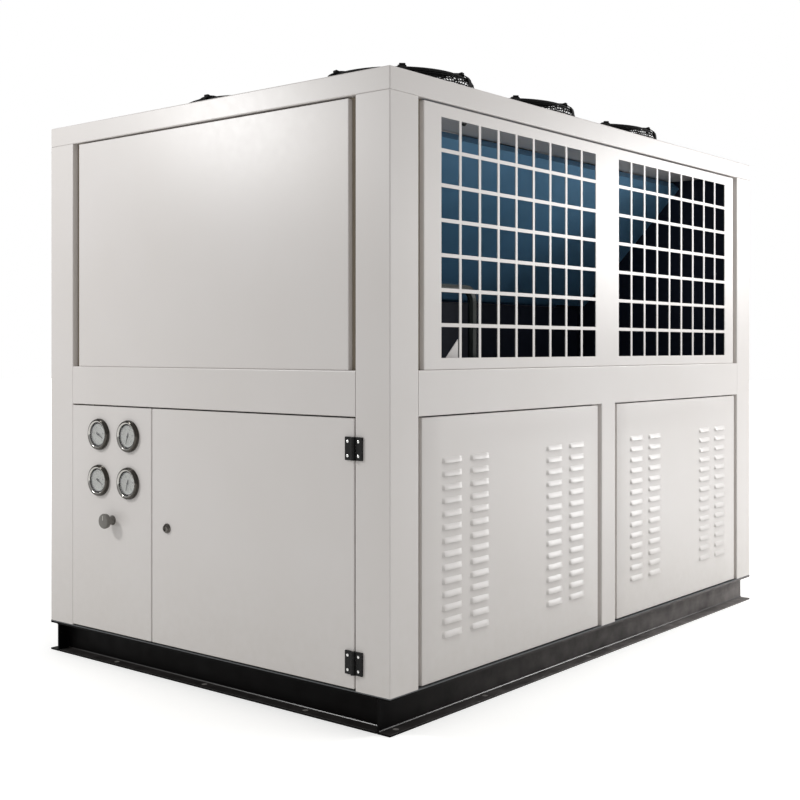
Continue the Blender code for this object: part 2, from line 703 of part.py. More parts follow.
def add_hinges(black, axis):
    """Two cast hinges on the seam between the door and the near post."""
    post_leaf, door_leaf = post_leaf_mesh(), door_leaf_mesh()
    for number, level in enumerate(HINGE_HEIGHTS, 1):
        spot = axis.location + Vector((0, 0, BASE_HEIGHT + level))
        place(f"hinge_leaf_post_{number}", post_leaf, black, spot, (0, 0, SIDES["front"][0]))
        place(f"hinge_leaf_door_{number}", door_leaf, black, (0, 0, BASE_HEIGHT + level), parent=axis)


def add_roof_frame(paint):
    """The cap band round the roof, with a lip for the deck and a wide lower lip over the coils."""
    bm = bmesh.new()
    bmesh.ops.create_cube(bm, size=1.0)
    bmesh.ops.scale(bm, vec=(CABINET_LENGTH, CABINET_WIDTH, CAP_HEIGHT), verts=bm.verts)
    bmesh.ops.translate(bm, vec=(0, 0, CAP_BOTTOM + CAP_HEIGHT / 2), verts=bm.verts)
    bm.normal_update()
    for upward, lip_x, lip_y in ((1, DECK_LIP, DECK_LIP), (-1, END_LIP, SIDE_LIP)):
        cover = [face for face in bm.faces if face.normal.z * upward > 0.5][0]
        inner = bmesh.ops.extrude_discrete_faces(bm, faces=[cover])["faces"][0]
        scale = (1 - 2 * lip_x / CABINET_LENGTH, 1 - 2 * lip_y / CABINET_WIDTH, 1)
        bmesh.ops.scale(bm, vec=scale, verts=inner.verts)
        bmesh.ops.delete(bm, geom=[inner], context="FACES_ONLY")
        bm.normal_update()
    place("roof_frame", thickened(bm, "roof_frame"), paint)


def nozzle_profile(extra):
    """The half section of a fan nozzle, from its mouth in the deck down to its flared inlet."""
    radius = NOZZLE_RADIUS + extra
    return [(radius, NOZZLE_FLARE - NOZZLE_DEPTH), (radius + NOZZLE_FLARE, -NOZZLE_DEPTH)]


def deck_panel_mesh(width, length, shift):
    """A deck panel with two fan nozzles pressed down from it, off its middle by a shift."""
    plate = box_mesh("deck_panel", (-width / 2, -length / 2, -SHEET), (width / 2, length / 2, 0))
    outer = [(0, -SHEET / 2), (NOZZLE_RADIUS + SHEET, -SHEET / 2)] + nozzle_profile(SHEET)
    plug = turned_mesh("plug", outer + [(0, -NOZZLE_DEPTH)], FAN_STEPS)
    inner = [(0, SHEET), (NOZZLE_RADIUS, SHEET)] + nozzle_profile(0)
    edge = (NOZZLE_RADIUS + NOZZLE_FLARE, -NOZZLE_DEPTH - SHEET)
    bore = turned_mesh("bore", inner + [edge, (0, edge[1])], FAN_STEPS)
    places = [Matrix.Translation((shift, FAN_ROW * row, 0)) for row in (-1, 1)]
    plate = combined(plate, gathered("plugs", [plug], places))
    return combined(plate, gathered("bores", [bore], places), "DIFFERENCE")


def add_deck(paint):
    """Deck panels inside the cap band, parted midway between the fans, with two nozzles each."""
    end = HALF_LENGTH - DECK_LIP
    length = CABINET_WIDTH - 2 * DECK_LIP
    columns = fan_columns()
    seams = [-end] + [(a + b) / 2 for a, b in zip(columns, columns[1:])] + [end]
    for number, column in enumerate(columns):
        middle = (seams[number] + seams[number + 1]) / 2
        width = seams[number + 1] - seams[number]
        mesh = deck_panel_mesh(width - 2 * GAP, length - 2 * GAP, column - middle)
        place(f"deck_panel_{number + 1}", mesh, paint, (middle, 0, ROOF_TOP))


def fan_columns():
    """Distances of the fans along the roof, from its middle."""
    return [(number - (FANS_PER_ROW - 1) / 2) * FAN_PITCH for number in range(FANS_PER_ROW)]


def guard_arm(turn):
    """One flat arm of a guard, from its foot up the side and over to the motor, with its ear."""
    foot = FOOT_THICKNESS + GAP
    path = [(GUARD_BASE_RADIUS + FOOT_SIZE, foot), (GUARD_BASE_RADIUS + GUARD_WIRE, foot),
            (GUARD_SHOULDER_RADIUS + GUARD_WIRE, GUARD_SHOULDER),
            (GUARD_TOP_RADIUS, GUARD_TOP + FOOT_THICKNESS),
            (MOTOR_RADIUS * ARM_END_SHARE, GUARD_TOP)]
    path = [(height, radius) for radius, height in path]
    arm = folded_mesh("arm", path, -ARM_WIDTH / 2, ARM_WIDTH / 2, "Y", FOOT_THICKNESS)
    outer = GUARD_TOP_RADIUS - 2 * GUARD_WIRE
    ear = box_mesh("ear", (outer - EAR_DEPTH, -EAR_WIDTH / 2, GUARD_TOP),
                   (outer, EAR_WIDTH / 2, EAR_TOP))
    for vert in ear.vertices:
        if vert.co.z == EAR_TOP and vert.co.x < outer - EAR_DEPTH / 2:
            vert.co.z -= EAR_SLOPE
    return gathered("guard_arm", [combined(arm, ear)], [Matrix.Rotation(turn, 4, "Z")])


def side_radius(height):
    """The radius of a ring that lies against the side of the arms at a height."""
    foot = FOOT_THICKNESS + GAP
    share = (height - foot) / (GUARD_SHOULDER - foot)
    return GUARD_BASE_RADIUS + share * (GUARD_SHOULDER_RADIUS - GUARD_BASE_RADIUS) + GUARD_WIRE - RING_INSET


def guard_ring(radius, height):
    """One wire ring of a guard, with a three sided section."""
    corners = [math.radians(angle) for angle in (0, 120, 240)]
    section = [(radius + GUARD_WIRE * math.cos(angle), height + GUARD_WIRE * math.sin(angle))
               for angle in corners]
    return turned_mesh("ring", section, GUARD_STEPS, closed=True)


def guard_mesh():
    """A wire basket: three rings on four arms, which meet at the motor in the middle."""
    bore = SHAFT_RADIUS + SHAFT_CLEARANCE
    top = GUARD_TOP + GUARD_WIRE
    low = top - MOTOR_HEIGHT
    bore_top = max(SHAFT_LENGTH - HUB_DROP, low) + SHAFT_CLEARANCE
    profile = [(0, top), (MOTOR_RADIUS - MOTOR_EDGE, top), (MOTOR_RADIUS, top - MOTOR_EDGE),
               (MOTOR_RADIUS, low), (bore, low), (bore, bore_top), (0, bore_top)]
    mesh = turned_mesh("fan_guard", profile, HUB_STEPS)
    turns = [(number + 0.5) * 2 * math.pi / GUARD_ARMS for number in range(GUARD_ARMS)]
    mesh = combined(mesh, gathered("arms", [guard_arm(turn) for turn in turns]))
    places = [(side_radius(GUARD_BASE_RING), GUARD_BASE_RING),
              (side_radius(GUARD_SHOULDER), GUARD_SHOULDER), (GUARD_TOP_RADIUS, GUARD_TOP)]
    return combined(mesh, gathered("rings", [guard_ring(*spot) for spot in places]))


def blade_mesh():
    """One swept and twisted blade, with its root inside the hub."""
    tip = NOZZLE_RADIUS - TIP_CLEARANCE
    root = HUB_RADIUS - BLADE_ROOT_DEPTH
    bm = bmesh.new()
    bmesh.ops.create_grid(bm, x_segments=2, y_segments=2, size=0.5)
    middle = -HUB_DROP - HUB_HEIGHT / 2
    for vert in bm.verts:
        share = vert.co.x + 0.5
        chord = vert.co.y * BLADE_CHORD
        radius = root + (tip - root) * share
        pitch = BLADE_ROOT_ANGLE + (BLADE_TIP_ANGLE - BLADE_ROOT_ANGLE) * share
        width = BLADE_ROOT_WIDTH_SHARE + (1 - BLADE_ROOT_WIDTH_SHARE) * share
        rise = BLADE_ROOT_RISE_SHARE + (BLADE_TIP_RISE_SHARE - BLADE_ROOT_RISE_SHARE) * share
        angle = BLADE_SWEEP * share ** 1.5 + width * chord * math.cos(pitch) / radius
        height = middle + rise * chord * math.sin(pitch)
        vert.co = (radius * math.cos(angle), radius * math.sin(angle), height)
    bm.normal_update()
    return thickened(bm, "blade", BLADE_SHEET)


def impeller_mesh():
    """The rotor can with its shaft, and the blades fused round it."""
    top = -HUB_DROP
    reach = top + SHAFT_LENGTH
    profile = [(0, reach), (SHAFT_RADIUS, reach), (SHAFT_RADIUS, top), (HUB_RADIUS - HUB_EDGE, top),
               (HUB_RADIUS, top - HUB_EDGE), (HUB_RADIUS, top - HUB_HEIGHT), (0, top - HUB_HEIGHT)]
    hub = turned_mesh("fan_impeller", profile, HUB_STEPS)
    step = 2 * math.pi / BLADE_COUNT
    turns = [Matrix.Rotation(step * number, 4, "Z") for number in range(BLADE_COUNT)]
    return combined(hub, gathered("blades", [blade_mesh()], turns))


def add_fans(black, grey):
    """Six guards on the deck, and six impellers on empties that lie on their spin axes."""
    guard, impeller = guard_mesh(), impeller_mesh()
    number = 1
    for row in (-FAN_ROW, FAN_ROW):
        for column in fan_columns():
            centre = (column, row, ROOF_TOP)
            place(f"fan_guard_{number}", guard, black, centre)
            axis = pivot(f"fan_axis_{number}", centre)
            place(f"fan_impeller_{number}", impeller, grey, parent=axis)
            number += 1


def add_coils(fins, grey, black):
    """Two leaning coils in a V, between end plates that stand on a tray with a middle ridge."""
    tray_top = RAIL_TOP - TRAY_DROP
    edge = HALF_WIDTH - LEDGE_DEPTH - GAP
    half_ridge = RIDGE_WIDTH / 2
    path = [(-edge, tray_top - TRAY_LIP), (-edge, tray_top), (-half_ridge, tray_top),
            (-half_ridge, tray_top + RIDGE_HEIGHT)]
    path += [(-across, level) for across, level in reversed(path)]
    half_length = HALF_LENGTH - POST_FACE - LEDGE_WIDTH - SHEET
    tray = folded_mesh("drip_tray", path, -half_length, half_length, "X")
    place("drip_tray", tray, grey)
    plate_low = (-half_length, -edge + SHEET, tray_top + GAP)
    plate_high = (SHEET - half_length, edge - SHEET, CAP_BOTTOM - GAP)
    plate = box_mesh("coil_end_plate", plate_low, plate_high)
    slot = box_mesh("slot", (-HALF_LENGTH, -half_ridge - GAP, 0),
                    (HALF_LENGTH, half_ridge + GAP, tray_top + RIDGE_HEIGHT + GAP))
    plate = combined(plate, slot, "DIFFERENCE")
    place("coil_end_plate_front", plate, grey)
    place("coil_end_plate_rear", plate, grey, rotation=(0, 0, math.pi))
    inner = half_length - SHEET - GAP
    coil_top = Vector((HALF_WIDTH - COIL_TOP_DEPTH, CAP_BOTTOM - COIL_THICKNESS / 2 - GAP))
    coil_foot = Vector((COIL_FOOT, tray_top + RIDGE_HEIGHT + COIL_CLEARANCE))
    slant = coil_top - coil_foot
    half = Vector((inner, COIL_THICKNESS / 2, slant.length / 2))
    coil = box_mesh("coil", -half, half)
    across, level = (coil_top + coil_foot) / 2
    lean = math.atan2(slant.x, slant.y)
    place("coil_right", coil, fins, (0, -across, level), (lean, 0, 0))
    place("coil_left", coil, fins, (0, across, level), (-lean, 0, 0))
    add_pipe(black, tray_top, inner)


def add_pipe(black, tray_top, inner):
    """A refrigerant pipe that rises from the tray and turns to the front end plate."""
    across = PIPE_DEPTH - HALF_WIDTH
    column = PIPE_PLACE - HALF_LENGTH
    level = tray_top + PIPE_RISE
    bend = [math.radians(angle) for angle in range(0, 91, 18)]
    points = [(column, across, tray_top + GAP)]
    points += [(column + PIPE_BEND * (math.cos(angle) - 1), across,
                level + PIPE_BEND * (math.sin(angle) - 1)) for angle in bend]
    points.append((-inner, across, level))
    place("refrigerant_pipe", tube_mesh("refrigerant_pipe", points, PIPE_RADIUS, 2), black)


def add_bulkhead(grey):
    """The wall between the service bay behind the door and the closed rest of the cabinet."""
    column = BULKHEAD_PLACE - HALF_LENGTH
    edge = HALF_WIDTH - LEDGE_DEPTH - GAP
    low = (column, -edge, FLOOR_TOP + GAP)
    high = (column + SHEET, edge, RAIL_TOP - TRAY_DROP - TRAY_LIP - GAP)
    place("bulkhead", box_mesh("bulkhead", low, high), grey)


def main():
    clear_scene()
    paint = finish("light_powder_coat", (0.80, 0.79, 0.77), 0.35)
    black = finish("black_paint", (0.06, 0.06, 0.06), 0.45)
    grey = finish("dark_grey_sheet", (0.28, 0.28, 0.29), 0.5)
    steel = finish("polished_steel", (0.75, 0.75, 0.74), 0.2, 1.0)
    chrome = finish("chrome_plate", (0.85, 0.85, 0.85), 0.1, 1.0)
    fins = finish("teal_fins", (0.16, 0.31, 0.38), 0.4, 0.3)
    plastic = finish("dark_grey_plastic", (0.24, 0.24, 0.25), 0.45)
    add_base(black)
    add_floor(grey)
    add_posts(paint)
    add_rails(paint)
    add_roof_frame(paint)
    add_deck(paint)
    add_upper_end_panels(paint)
    add_grille_panels(paint)
    add_louvre_panels(paint)
    add_rear_lower_panel(paint)
    add_gauge_panel(paint)
    add_gauges(steel)
    add_switch(plastic)
    add_hinges(black, add_door(paint, chrome))
    add_coils(fins, grey, black)
    add_bulkhead(grey)
    add_fans(black, grey)


main()
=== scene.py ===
# %% [markdown]
# # An air cooled water chiller, dressed for its picture
#
# The imported CAD model gives the cabinet its sizes and its moving bodies. This lesson adds what CAD leaves
# out: rolled sheet edges, wire guards, gauges with glass and dials, screws, and the paints and metals that
# make the machine look real. Most places are worked out from the CAD boxes, and a few are given as
# coordinates.

# %% Load the imported model
import math

import bmesh
import bpy
from mathutils import Matrix, Vector


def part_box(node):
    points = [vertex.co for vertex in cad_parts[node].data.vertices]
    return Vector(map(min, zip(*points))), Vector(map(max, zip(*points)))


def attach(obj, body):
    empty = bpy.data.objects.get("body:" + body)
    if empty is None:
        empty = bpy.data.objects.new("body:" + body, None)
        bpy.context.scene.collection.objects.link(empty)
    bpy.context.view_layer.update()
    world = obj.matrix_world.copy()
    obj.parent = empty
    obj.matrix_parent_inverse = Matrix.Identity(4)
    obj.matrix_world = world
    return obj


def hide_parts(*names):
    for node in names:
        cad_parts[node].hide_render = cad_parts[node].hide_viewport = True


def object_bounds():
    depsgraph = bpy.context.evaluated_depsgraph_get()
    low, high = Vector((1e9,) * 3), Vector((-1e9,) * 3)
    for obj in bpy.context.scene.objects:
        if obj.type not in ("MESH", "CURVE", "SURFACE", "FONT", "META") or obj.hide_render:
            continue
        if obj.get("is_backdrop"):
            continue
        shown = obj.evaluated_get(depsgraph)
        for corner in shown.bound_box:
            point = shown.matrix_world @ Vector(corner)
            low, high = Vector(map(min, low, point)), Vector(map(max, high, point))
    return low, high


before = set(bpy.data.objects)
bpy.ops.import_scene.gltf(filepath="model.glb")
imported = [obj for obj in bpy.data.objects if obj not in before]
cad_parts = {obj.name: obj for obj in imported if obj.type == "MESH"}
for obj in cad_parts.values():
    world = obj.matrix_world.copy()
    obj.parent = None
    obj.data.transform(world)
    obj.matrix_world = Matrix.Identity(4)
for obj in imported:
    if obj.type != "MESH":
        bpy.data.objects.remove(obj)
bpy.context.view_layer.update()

MM = 0.001

# %% [markdown]
# ## The camera
#
# The photograph was taken at chest height with a level camera, so the upright edges stay upright.
# A level camera keeps that, and a small lens shift gives the object its place in the picture, as a
# shift lens does in product photography.

# %% Set the camera
CAMERA_PLACE = (-4.4639, -3.4608, 1.2620)
CAMERA_TURN = 0.6854
LENS = 55.14
LENS_SHIFT = -0.065


def add_camera():
    """The level camera at the photograph's viewing angle."""
    data = bpy.data.cameras.new("camera")
    data.lens = LENS
    data.shift_y = LENS_SHIFT
    made = bpy.data.objects.new("camera", data)
    made.location = CAMERA_PLACE
    made.rotation_euler = (math.pi / 2, 0, CAMERA_TURN - math.pi / 2)
    bpy.context.scene.collection.objects.link(made)
    bpy.context.scene.camera = made
    return made


print("camera at", add_camera().location)

# %% [markdown]
# ## Places on the cabinet
#
# The fittings sit on upright faces, and it is easiest to model each one lying flat with its front
# looking up local Z. One matrix per face then stands it up: local X is to the viewer's right, local
# Y is up and local Z comes out of the face.

# %% Measure the frame
END_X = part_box("gauge_panel")[0].x
SIDE_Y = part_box("corner_post_1")[0].y
ROOF_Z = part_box("deck_panel_1")[1].z
FLOOR_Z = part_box("floor_pan")[1].z
FRONT_FRAME = Matrix(((0, 0, -1, 0), (-1, 0, 0, 0), (0, 1, 0, 0), (0, 0, 0, 1)))
RIGHT_FRAME = Matrix(((1, 0, 0, 0), (0, 0, -1, 0), (0, 1, 0, 0), (0, 0, 0, 1)))
HALF_TURN = Matrix.Rotation(math.pi, 4, "Z")


def centre(node):
    """The middle of a CAD node's box."""
    low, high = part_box(node)
    return (low + high) / 2


def on_front(node, out=0.0):
    """The frame of a fitting on the front face, at a node's middle and out from the face."""
    spot = centre(node)
    return Matrix.Translation((END_X - out, spot.y, spot.z)) @ FRONT_FRAME


print("front face at x", round(END_X, 4), "long side at y", round(SIDE_Y, 4), "roof at z", ROOF_Z)

# %% [markdown]
# ## Colours and nodes
#
# Colours are written as the hex values that a designer would pick on screen, and one function
# turns them to the linear numbers that Blender works in. A second small function adds any node,
# and short ones after it name the nodes that come back in almost every finish.

# %% Colour and node helpers
def linear(hex_colour):
    """An sRGB hex colour as linear RGBA."""
    parts = [int(hex_colour[at:at + 2], 16) / 255 for at in (1, 3, 5)]
    return [p / 12.92 if p <= 0.04045 else ((p + 0.055) / 1.055) ** 2.4 for p in parts] + [1.0]


def add_node(tree, kind, inputs=(), **settings):
    """One node with its settings, its input values and its links."""
    made = tree.nodes.new(kind)
    for key, value in settings.items():
        setattr(made, key, value)
    for key, value in dict(inputs).items():
        if isinstance(value, bpy.types.NodeSocket):
            tree.links.new(value, made.inputs[key])
        else:
            made.inputs[key].default_value = value
    return made


def new_finish(name, colour, roughness, metallic=0.0, **sockets):
    """A Principled material, its tree, its shader and the object coordinates to draw with."""
    material = bpy.data.materials.new(name)
    material.use_nodes = True
    tree = material.node_tree
    shader = tree.nodes["Principled BSDF"]
    shader.inputs["Base Color"].default_value = linear(colour)
    shader.inputs["Roughness"].default_value = roughness
    shader.inputs["Metallic"].default_value = metallic
    for key, value in sockets.items():
        shader.inputs[key.replace("_", " ")].default_value = value
    where = add_node(tree, "ShaderNodeTexCoord").outputs["Object"]
    return material, tree, shader, where


def noise(tree, where, scale, detail):
    """Cloudy noise between 0 and 1."""
    inputs = {"Vector": where, "Scale": scale, "Detail": detail}
    return add_node(tree, "ShaderNodeTexNoise", inputs).outputs[0]


def spread(tree, value, start, stop, low, high):
    """A value whose range from start to stop becomes low to high."""
    inputs = {0: value, 1: start, 2: stop, 3: low, 4: high}
    return add_node(tree, "ShaderNodeMapRange", inputs).outputs[0]


def combine(tree, first, second, operation="MULTIPLY"):
    """Two values put together by one operation."""
    return add_node(tree, "ShaderNodeMath", {0: first, 1: second}, operation=operation).outputs[0]


def blend(tree, amount, first, second):
    """A colour between a first one, a hex colour or a socket, and a second hex colour."""
    base = linear(first) if isinstance(first, str) else first
    inputs = {0: amount, 6: base, 7: linear(second)}
    return add_node(tree, "ShaderNodeMix", inputs, data_type="RGBA").outputs[2]


def axis(tree, vector, name):
    """One coordinate of a vector."""
    return add_node(tree, "ShaderNodeSeparateXYZ", {0: vector}).outputs[name]


def bump(tree, height, strength, distance, **under):
    """A normal raised by a height, and on top of another normal if one is given."""
    inputs = {"Height": height, "Strength": strength, "Distance": distance, **under}
    return add_node(tree, "ShaderNodeBump", inputs).outputs[0]


def dress(tree, shader, **sockets):
    """Link values to the shader's sockets."""
    for key, value in sockets.items():
        tree.links.new(value, shader.inputs[key.replace("_", " ")])


print("grey card", [round(c, 3) for c in linear("#777777")])

# %% [markdown]
# ## Powder coat
#
# The cabinet is folded steel sheet with a light warm grey powder coat. Powder melts into a satin
# skin with orange peel a few millimetres across, and big thin panels are never quite flat, so
# their reflections drift. A broad noise bends the panels, a fine one gives the peel, and dust
# from the ground greys the lowest part. Orange peel is too fine for the picture, so it is drawn
# at three times its real size.

# %% Powder coated steel
PAINT = "#dcd8d6"
PAINT_SHADE = "#d6d1cd"
PAINT_DUST = "#bcb6ab"
PEEL_SIZE = 6 * MM
PANEL_WAVE = 0.45
DUST_TOP = 0.55


def powder_coat():
    """Satin powder coat with orange peel, slow waves and dust near the ground."""
    material, tree, shader, where = new_finish("powder coated steel", PAINT, 0.36)
    cloud = noise(tree, where, 1 / PANEL_WAVE, 3.0)
    speck = noise(tree, where, 30.0, 5.0)
    low = spread(tree, axis(tree, where, "Z"), FLOOR_Z, DUST_TOP, 0.3, 0.0)
    worn = blend(tree, combine(tree, low, speck), blend(tree, cloud, PAINT, PAINT_SHADE), PAINT_DUST)
    wave = bump(tree, noise(tree, where, 1 / PANEL_WAVE, 0.0), 1.0, 0.4 * MM)
    peel = bump(tree, noise(tree, where, 1 / PEEL_SIZE, 2.0), 0.2, 0.3 * MM, Normal=wave)
    dress(tree, shader, Base_Color=worn, Roughness=spread(tree, speck, 0.3, 0.7, 0.35, 0.37), Normal=peel)
    return material


PAINTED = powder_coat()
print("finish", PAINTED.name)

# %% [markdown]
# ## Black enamel
#
# The channel base is hot rolled steel brushed with black enamel. Its top faces keep dust, and a painted sheen
# turns the base grey towards the far end, standing for grazing light from the right. Cheap enamel dries with
# a rough skin, so it takes little reflection.

# %% Black enamel
ENAMEL = "#060505"
# This grey serves for dust on the top faces and for the painted sheen towards the far end.
ENAMEL_DUST_AND_SHEEN = "#8b8684"
SHEEN_SPAN = (-1.38, 1.45)
DUST_ON_TOP = 0.22
SHEEN_AT_END = 1.4


def black_enamel():
    """Dull black enamel, dusty where it faces up, with a painted sheen greying it towards the far end."""
    material, tree, shader, where = new_finish("black enamel on steel", ENAMEL, 0.55,
                                               Specular_IOR_Level=0.05)
    blotch = noise(tree, where, 14.0, 6.0)
    facing = add_node(tree, "ShaderNodeNewGeometry").outputs["Normal"]
    flat = spread(tree, axis(tree, facing, "Z"), 0.3, 0.9, 0.0, DUST_ON_TOP)
    # Painted sheen: the enamel greys towards the far end, standing for grazing light from the right.
    far = spread(tree, axis(tree, where, "X"), *SHEEN_SPAN, 0.0, SHEEN_AT_END)
    amount = combine(tree, combine(tree, flat, far, "ADD"), blotch)
    dress(tree, shader, Base_Color=blend(tree, amount, ENAMEL, ENAMEL_DUST_AND_SHEEN),
          Roughness=spread(tree, blotch, 0.3, 0.7, 0.4, 0.6),
          Normal=bump(tree, noise(tree, where, 160.0, 3.0), 0.25, 0.6 * MM))
    return material


ENAMELLED = black_enamel()
print("finish", ENAMELLED.name)

# %% [markdown]
# ## Plain sheet, painted shade and foam
#
# Inside, the tray and coil end plates take a near black, bluish sheet colour that is painted shade of the
# coil bay. The ledges behind the panel grooves take a darker brown grey, painted shade that makes the grooves
# look darker and browner than the panels, and dark foam lines the louvred panels. These need little more than
# a speckle and a rough surface.

# %% Speckled finishes
def speckled(name, colour, second, size, roughness, depth=0.4 * MM, shine=0.5):
    """A rough finish that mixes two close colours in specks of a given size."""
    material, tree, shader, where = new_finish(name, colour, roughness, Specular_IOR_Level=shine)
    speck = noise(tree, where, 1 / size, 4.0)
    dress(tree, shader, Base_Color=blend(tree, speck, colour, second), Normal=bump(tree, speck, 0.3, depth))
    return material


INNER_SHEET = speckled("grey painted sheet", "#4e5052", "#5c5e60", 40 * MM, 0.55)
# The tray and coil end plates take a near black, bluish colour: painted shade of the coil bay.
BAY_PAINTED_SHADE = speckled("near black sheet, painted bay shade", "#191c29", "#232735", 30 * MM, 0.6, shine=0.2)
# A darker brown grey for the ledges behind the panel grooves: painted shade in the grooves.
LEDGE_PAINTED_SHADE = speckled("painted shade on groove ledges", "#8f8577", "#857b6c", 6 * MM, 0.85)
FOAM = speckled("lining foam", "#2b2b2b", "#3a3938", 8 * MM, 0.95, depth=2 * MM)
GUARD_WIRE = speckled("black coated wire", "#060606", "#0c0c0c", 10 * MM, 0.55, shine=0.12)
FAN_BLACK = speckled("black painted aluminium", "#0d0d0e", "#151516", 20 * MM, 0.5, shine=0.25)
CAST_BLACK = speckled("black zinc casting", "#090909", "#101010", 2 * MM, 0.5, shine=0.2)
DARK_PLASTIC = speckled("dark grey polyamide", "#716e6a", "#7a7772", 3 * MM, 0.5, shine=0.3)
TUBE = speckled("green painted tube", "#2a2f2c", "#3a403c", 60 * MM, 0.22, shine=0.8)
print("speckled finishes", LEDGE_PAINTED_SHADE.name, FOAM.name)

# %% [markdown]
# ## Polished metal
#
# Gauge bezels are polished metal with a polished stainless ring inside, the lock is chrome plated and the
# screws are bright zinc. Bezels and lock take a dark metal colour, a painted reflection of a dark room round
# them. Polished metal is almost all reflection, so its colour and a low roughness do the work, and fine
# scratches break up the highlight.

# %% Bright metals
def bright_metal(name, colour, roughness):
    """A polished metal whose gloss varies with fine rubbing marks."""
    material, tree, shader, where = new_finish(name, colour, roughness, 1.0)
    rub = noise(tree, where, 40.0, 5.0)
    dress(tree, shader, Roughness=spread(tree, rub, 0.3, 0.7, roughness * 0.7, roughness * 1.6))
    return material


STAINLESS = bright_metal("polished stainless steel", "#aeaca8", 0.12)
# Bezel metal in a dark colour: a painted reflection of a dark room round the gauges.
BEZEL_PAINTED_REFLECTION = bright_metal("dark polished metal, painted reflection", "#474440", 0.14)
# Lock chrome in a dark colour: a painted reflection of a dark room.
LOCK_PAINTED_REFLECTION = bright_metal("dark chrome, painted reflection", "#5b5854", 0.16)
ZINC = bright_metal("bright zinc plate", "#d8d8d6", 0.25)
print("metals", STAINLESS.name, BEZEL_PAINTED_REFLECTION.name, LOCK_PAINTED_REFLECTION.name, ZINC.name)

# %% [markdown]
# ## Glass and dials
#
# Each gauge has a flat glass over a white enamelled dial. Real glass lets the dial show and adds
# one clean reflection. In its case's shade the dial looks pale grey, and slightly uneven as printed
# metal is.

# %% Glass and dial finishes
DIAL_FACE = speckled("white enamelled dial", "#a9aaa6", "#a1a29e", 15 * MM, 0.5, depth=0.05 * MM)
DIAL_INK = speckled("black dial ink", "#161616", "#202020", 5 * MM, 0.6, depth=0.02 * MM)
GLASS = new_finish("gauge glass", "#ffffff", 0.02, 0.0, IOR=1.45, Transmission_Weight=1.0)[0]
print("glass", GLASS.name)

# %% [markdown]
# ## Coil fins
#
# The condenser coils are thousands of thin aluminium fins with a blue water shedding coat. From
# outside they read as a dark teal skin with upright lines. Real fins are about two millimetres
# apart, which is under half a pixel here, so the stripes are drawn at five millimetres: the wave
# repeats 20 times in each turn of a circle, so its scale is tau / 20 over the stripe's width.

# %% Coated fins
FIN_TEAL = "#70aee2"
FIN_DARK = "#5a87a6"
FIN_SCALE = 62.5


def coated_fins():
    """Blue green coated fins as upright stripes across the coil."""
    material, tree, shader, where = new_finish("coated aluminium fins", FIN_TEAL, 0.35, 0.35)
    inputs = {"Vector": where, "Scale": FIN_SCALE, "Distortion": 0.4, "Detail": 1.0}
    stripes = add_node(tree, "ShaderNodeTexWave", inputs, bands_direction="X").outputs[1]
    shade = combine(tree, stripes, noise(tree, where, 3.0, 4.0))
    dress(tree, shader, Base_Color=blend(tree, shade, FIN_DARK, FIN_TEAL),
          Normal=bump(tree, stripes, 0.5, 2 * MM))
    return material


FINS = coated_fins()
print("finish", FINS.name)

# %% [markdown]
# ## Finishes for the CAD pieces that stay
#
# Some CAD nodes already have the right shape, such as the coils and the tray. They keep their
# meshes and only take a better material.

# %% Finish the CAD nodes
# The tray and coil end plates take the near black painted shade of the coil bay.
KEPT = {
    "floor_pan": INNER_SHEET, "bulkhead": INNER_SHEET, "drip_tray": BAY_PAINTED_SHADE,
    "coil_end_plate_front": BAY_PAINTED_SHADE, "coil_end_plate_rear": BAY_PAINTED_SHADE,
    "coil_right": FINS, "coil_left": FINS, "refrigerant_pipe": TUBE,
    "switch_plate": DARK_PLASTIC, "deck_panel_1": PAINTED, "deck_panel_2": PAINTED,
    "deck_panel_3": PAINTED,
}
for node, material in KEPT.items():
    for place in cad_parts[node].material_slots:
        place.material = material
print("kept CAD nodes", len(KEPT))

# %% [markdown]
# ## Adding a piece
#
# Every new piece is made in a bmesh, gets its materials, rides on a CAD body and may stand for
# the CAD node that it replaces. One function does that, so that each piece's own code only says
# what its shape is. Small sections are written in millimetres, and a helper scales them.

# %% Piece helpers
def as_mesh(name, bm):
    """A finished bmesh as a mesh."""
    mesh = bpy.data.meshes.new(name)
    bm.to_mesh(mesh)
    bm.free()
    return mesh


def mm(points):
    """Points that are written in millimetres."""
    return [tuple(part * MM for part in point) for point in points]


def add_piece(name, bm, finishes, body="cabinet", instead_of=(), smooth=None):
    """Turn a bmesh into a finished piece that rides on a body."""
    mesh = as_mesh(name, bm)
    for material in finishes:
        mesh.materials.append(material)
    if smooth:
        mesh.shade_smooth()
        mesh.set_sharp_from_angle(angle=math.radians(smooth))
    made = bpy.data.objects.new(name, mesh)
    bpy.context.scene.collection.objects.link(made)
    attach(made, body)
    if instead_of:
        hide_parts(*instead_of)
    return made


def stamp(bm, mesh, matrix=Matrix(), material=0):
    """Copy a mesh into a bmesh at a place, in one material."""
    before_verts, before_faces = len(bm.verts), len(bm.faces)
    bm.from_mesh(mesh)
    bm.verts.ensure_lookup_table()
    bm.faces.ensure_lookup_table()
    bmesh.ops.transform(bm, matrix=matrix, verts=bm.verts[before_verts:])
    for face in bm.faces[before_faces:]:
        face.material_index = material


def stamp_round(bm, mesh, count):
    """Copy a mesh into a bmesh at even steps about local Z."""
    for step in range(count):
        stamp(bm, mesh, Matrix.Rotation(math.tau * step / count, 4, "Z"))


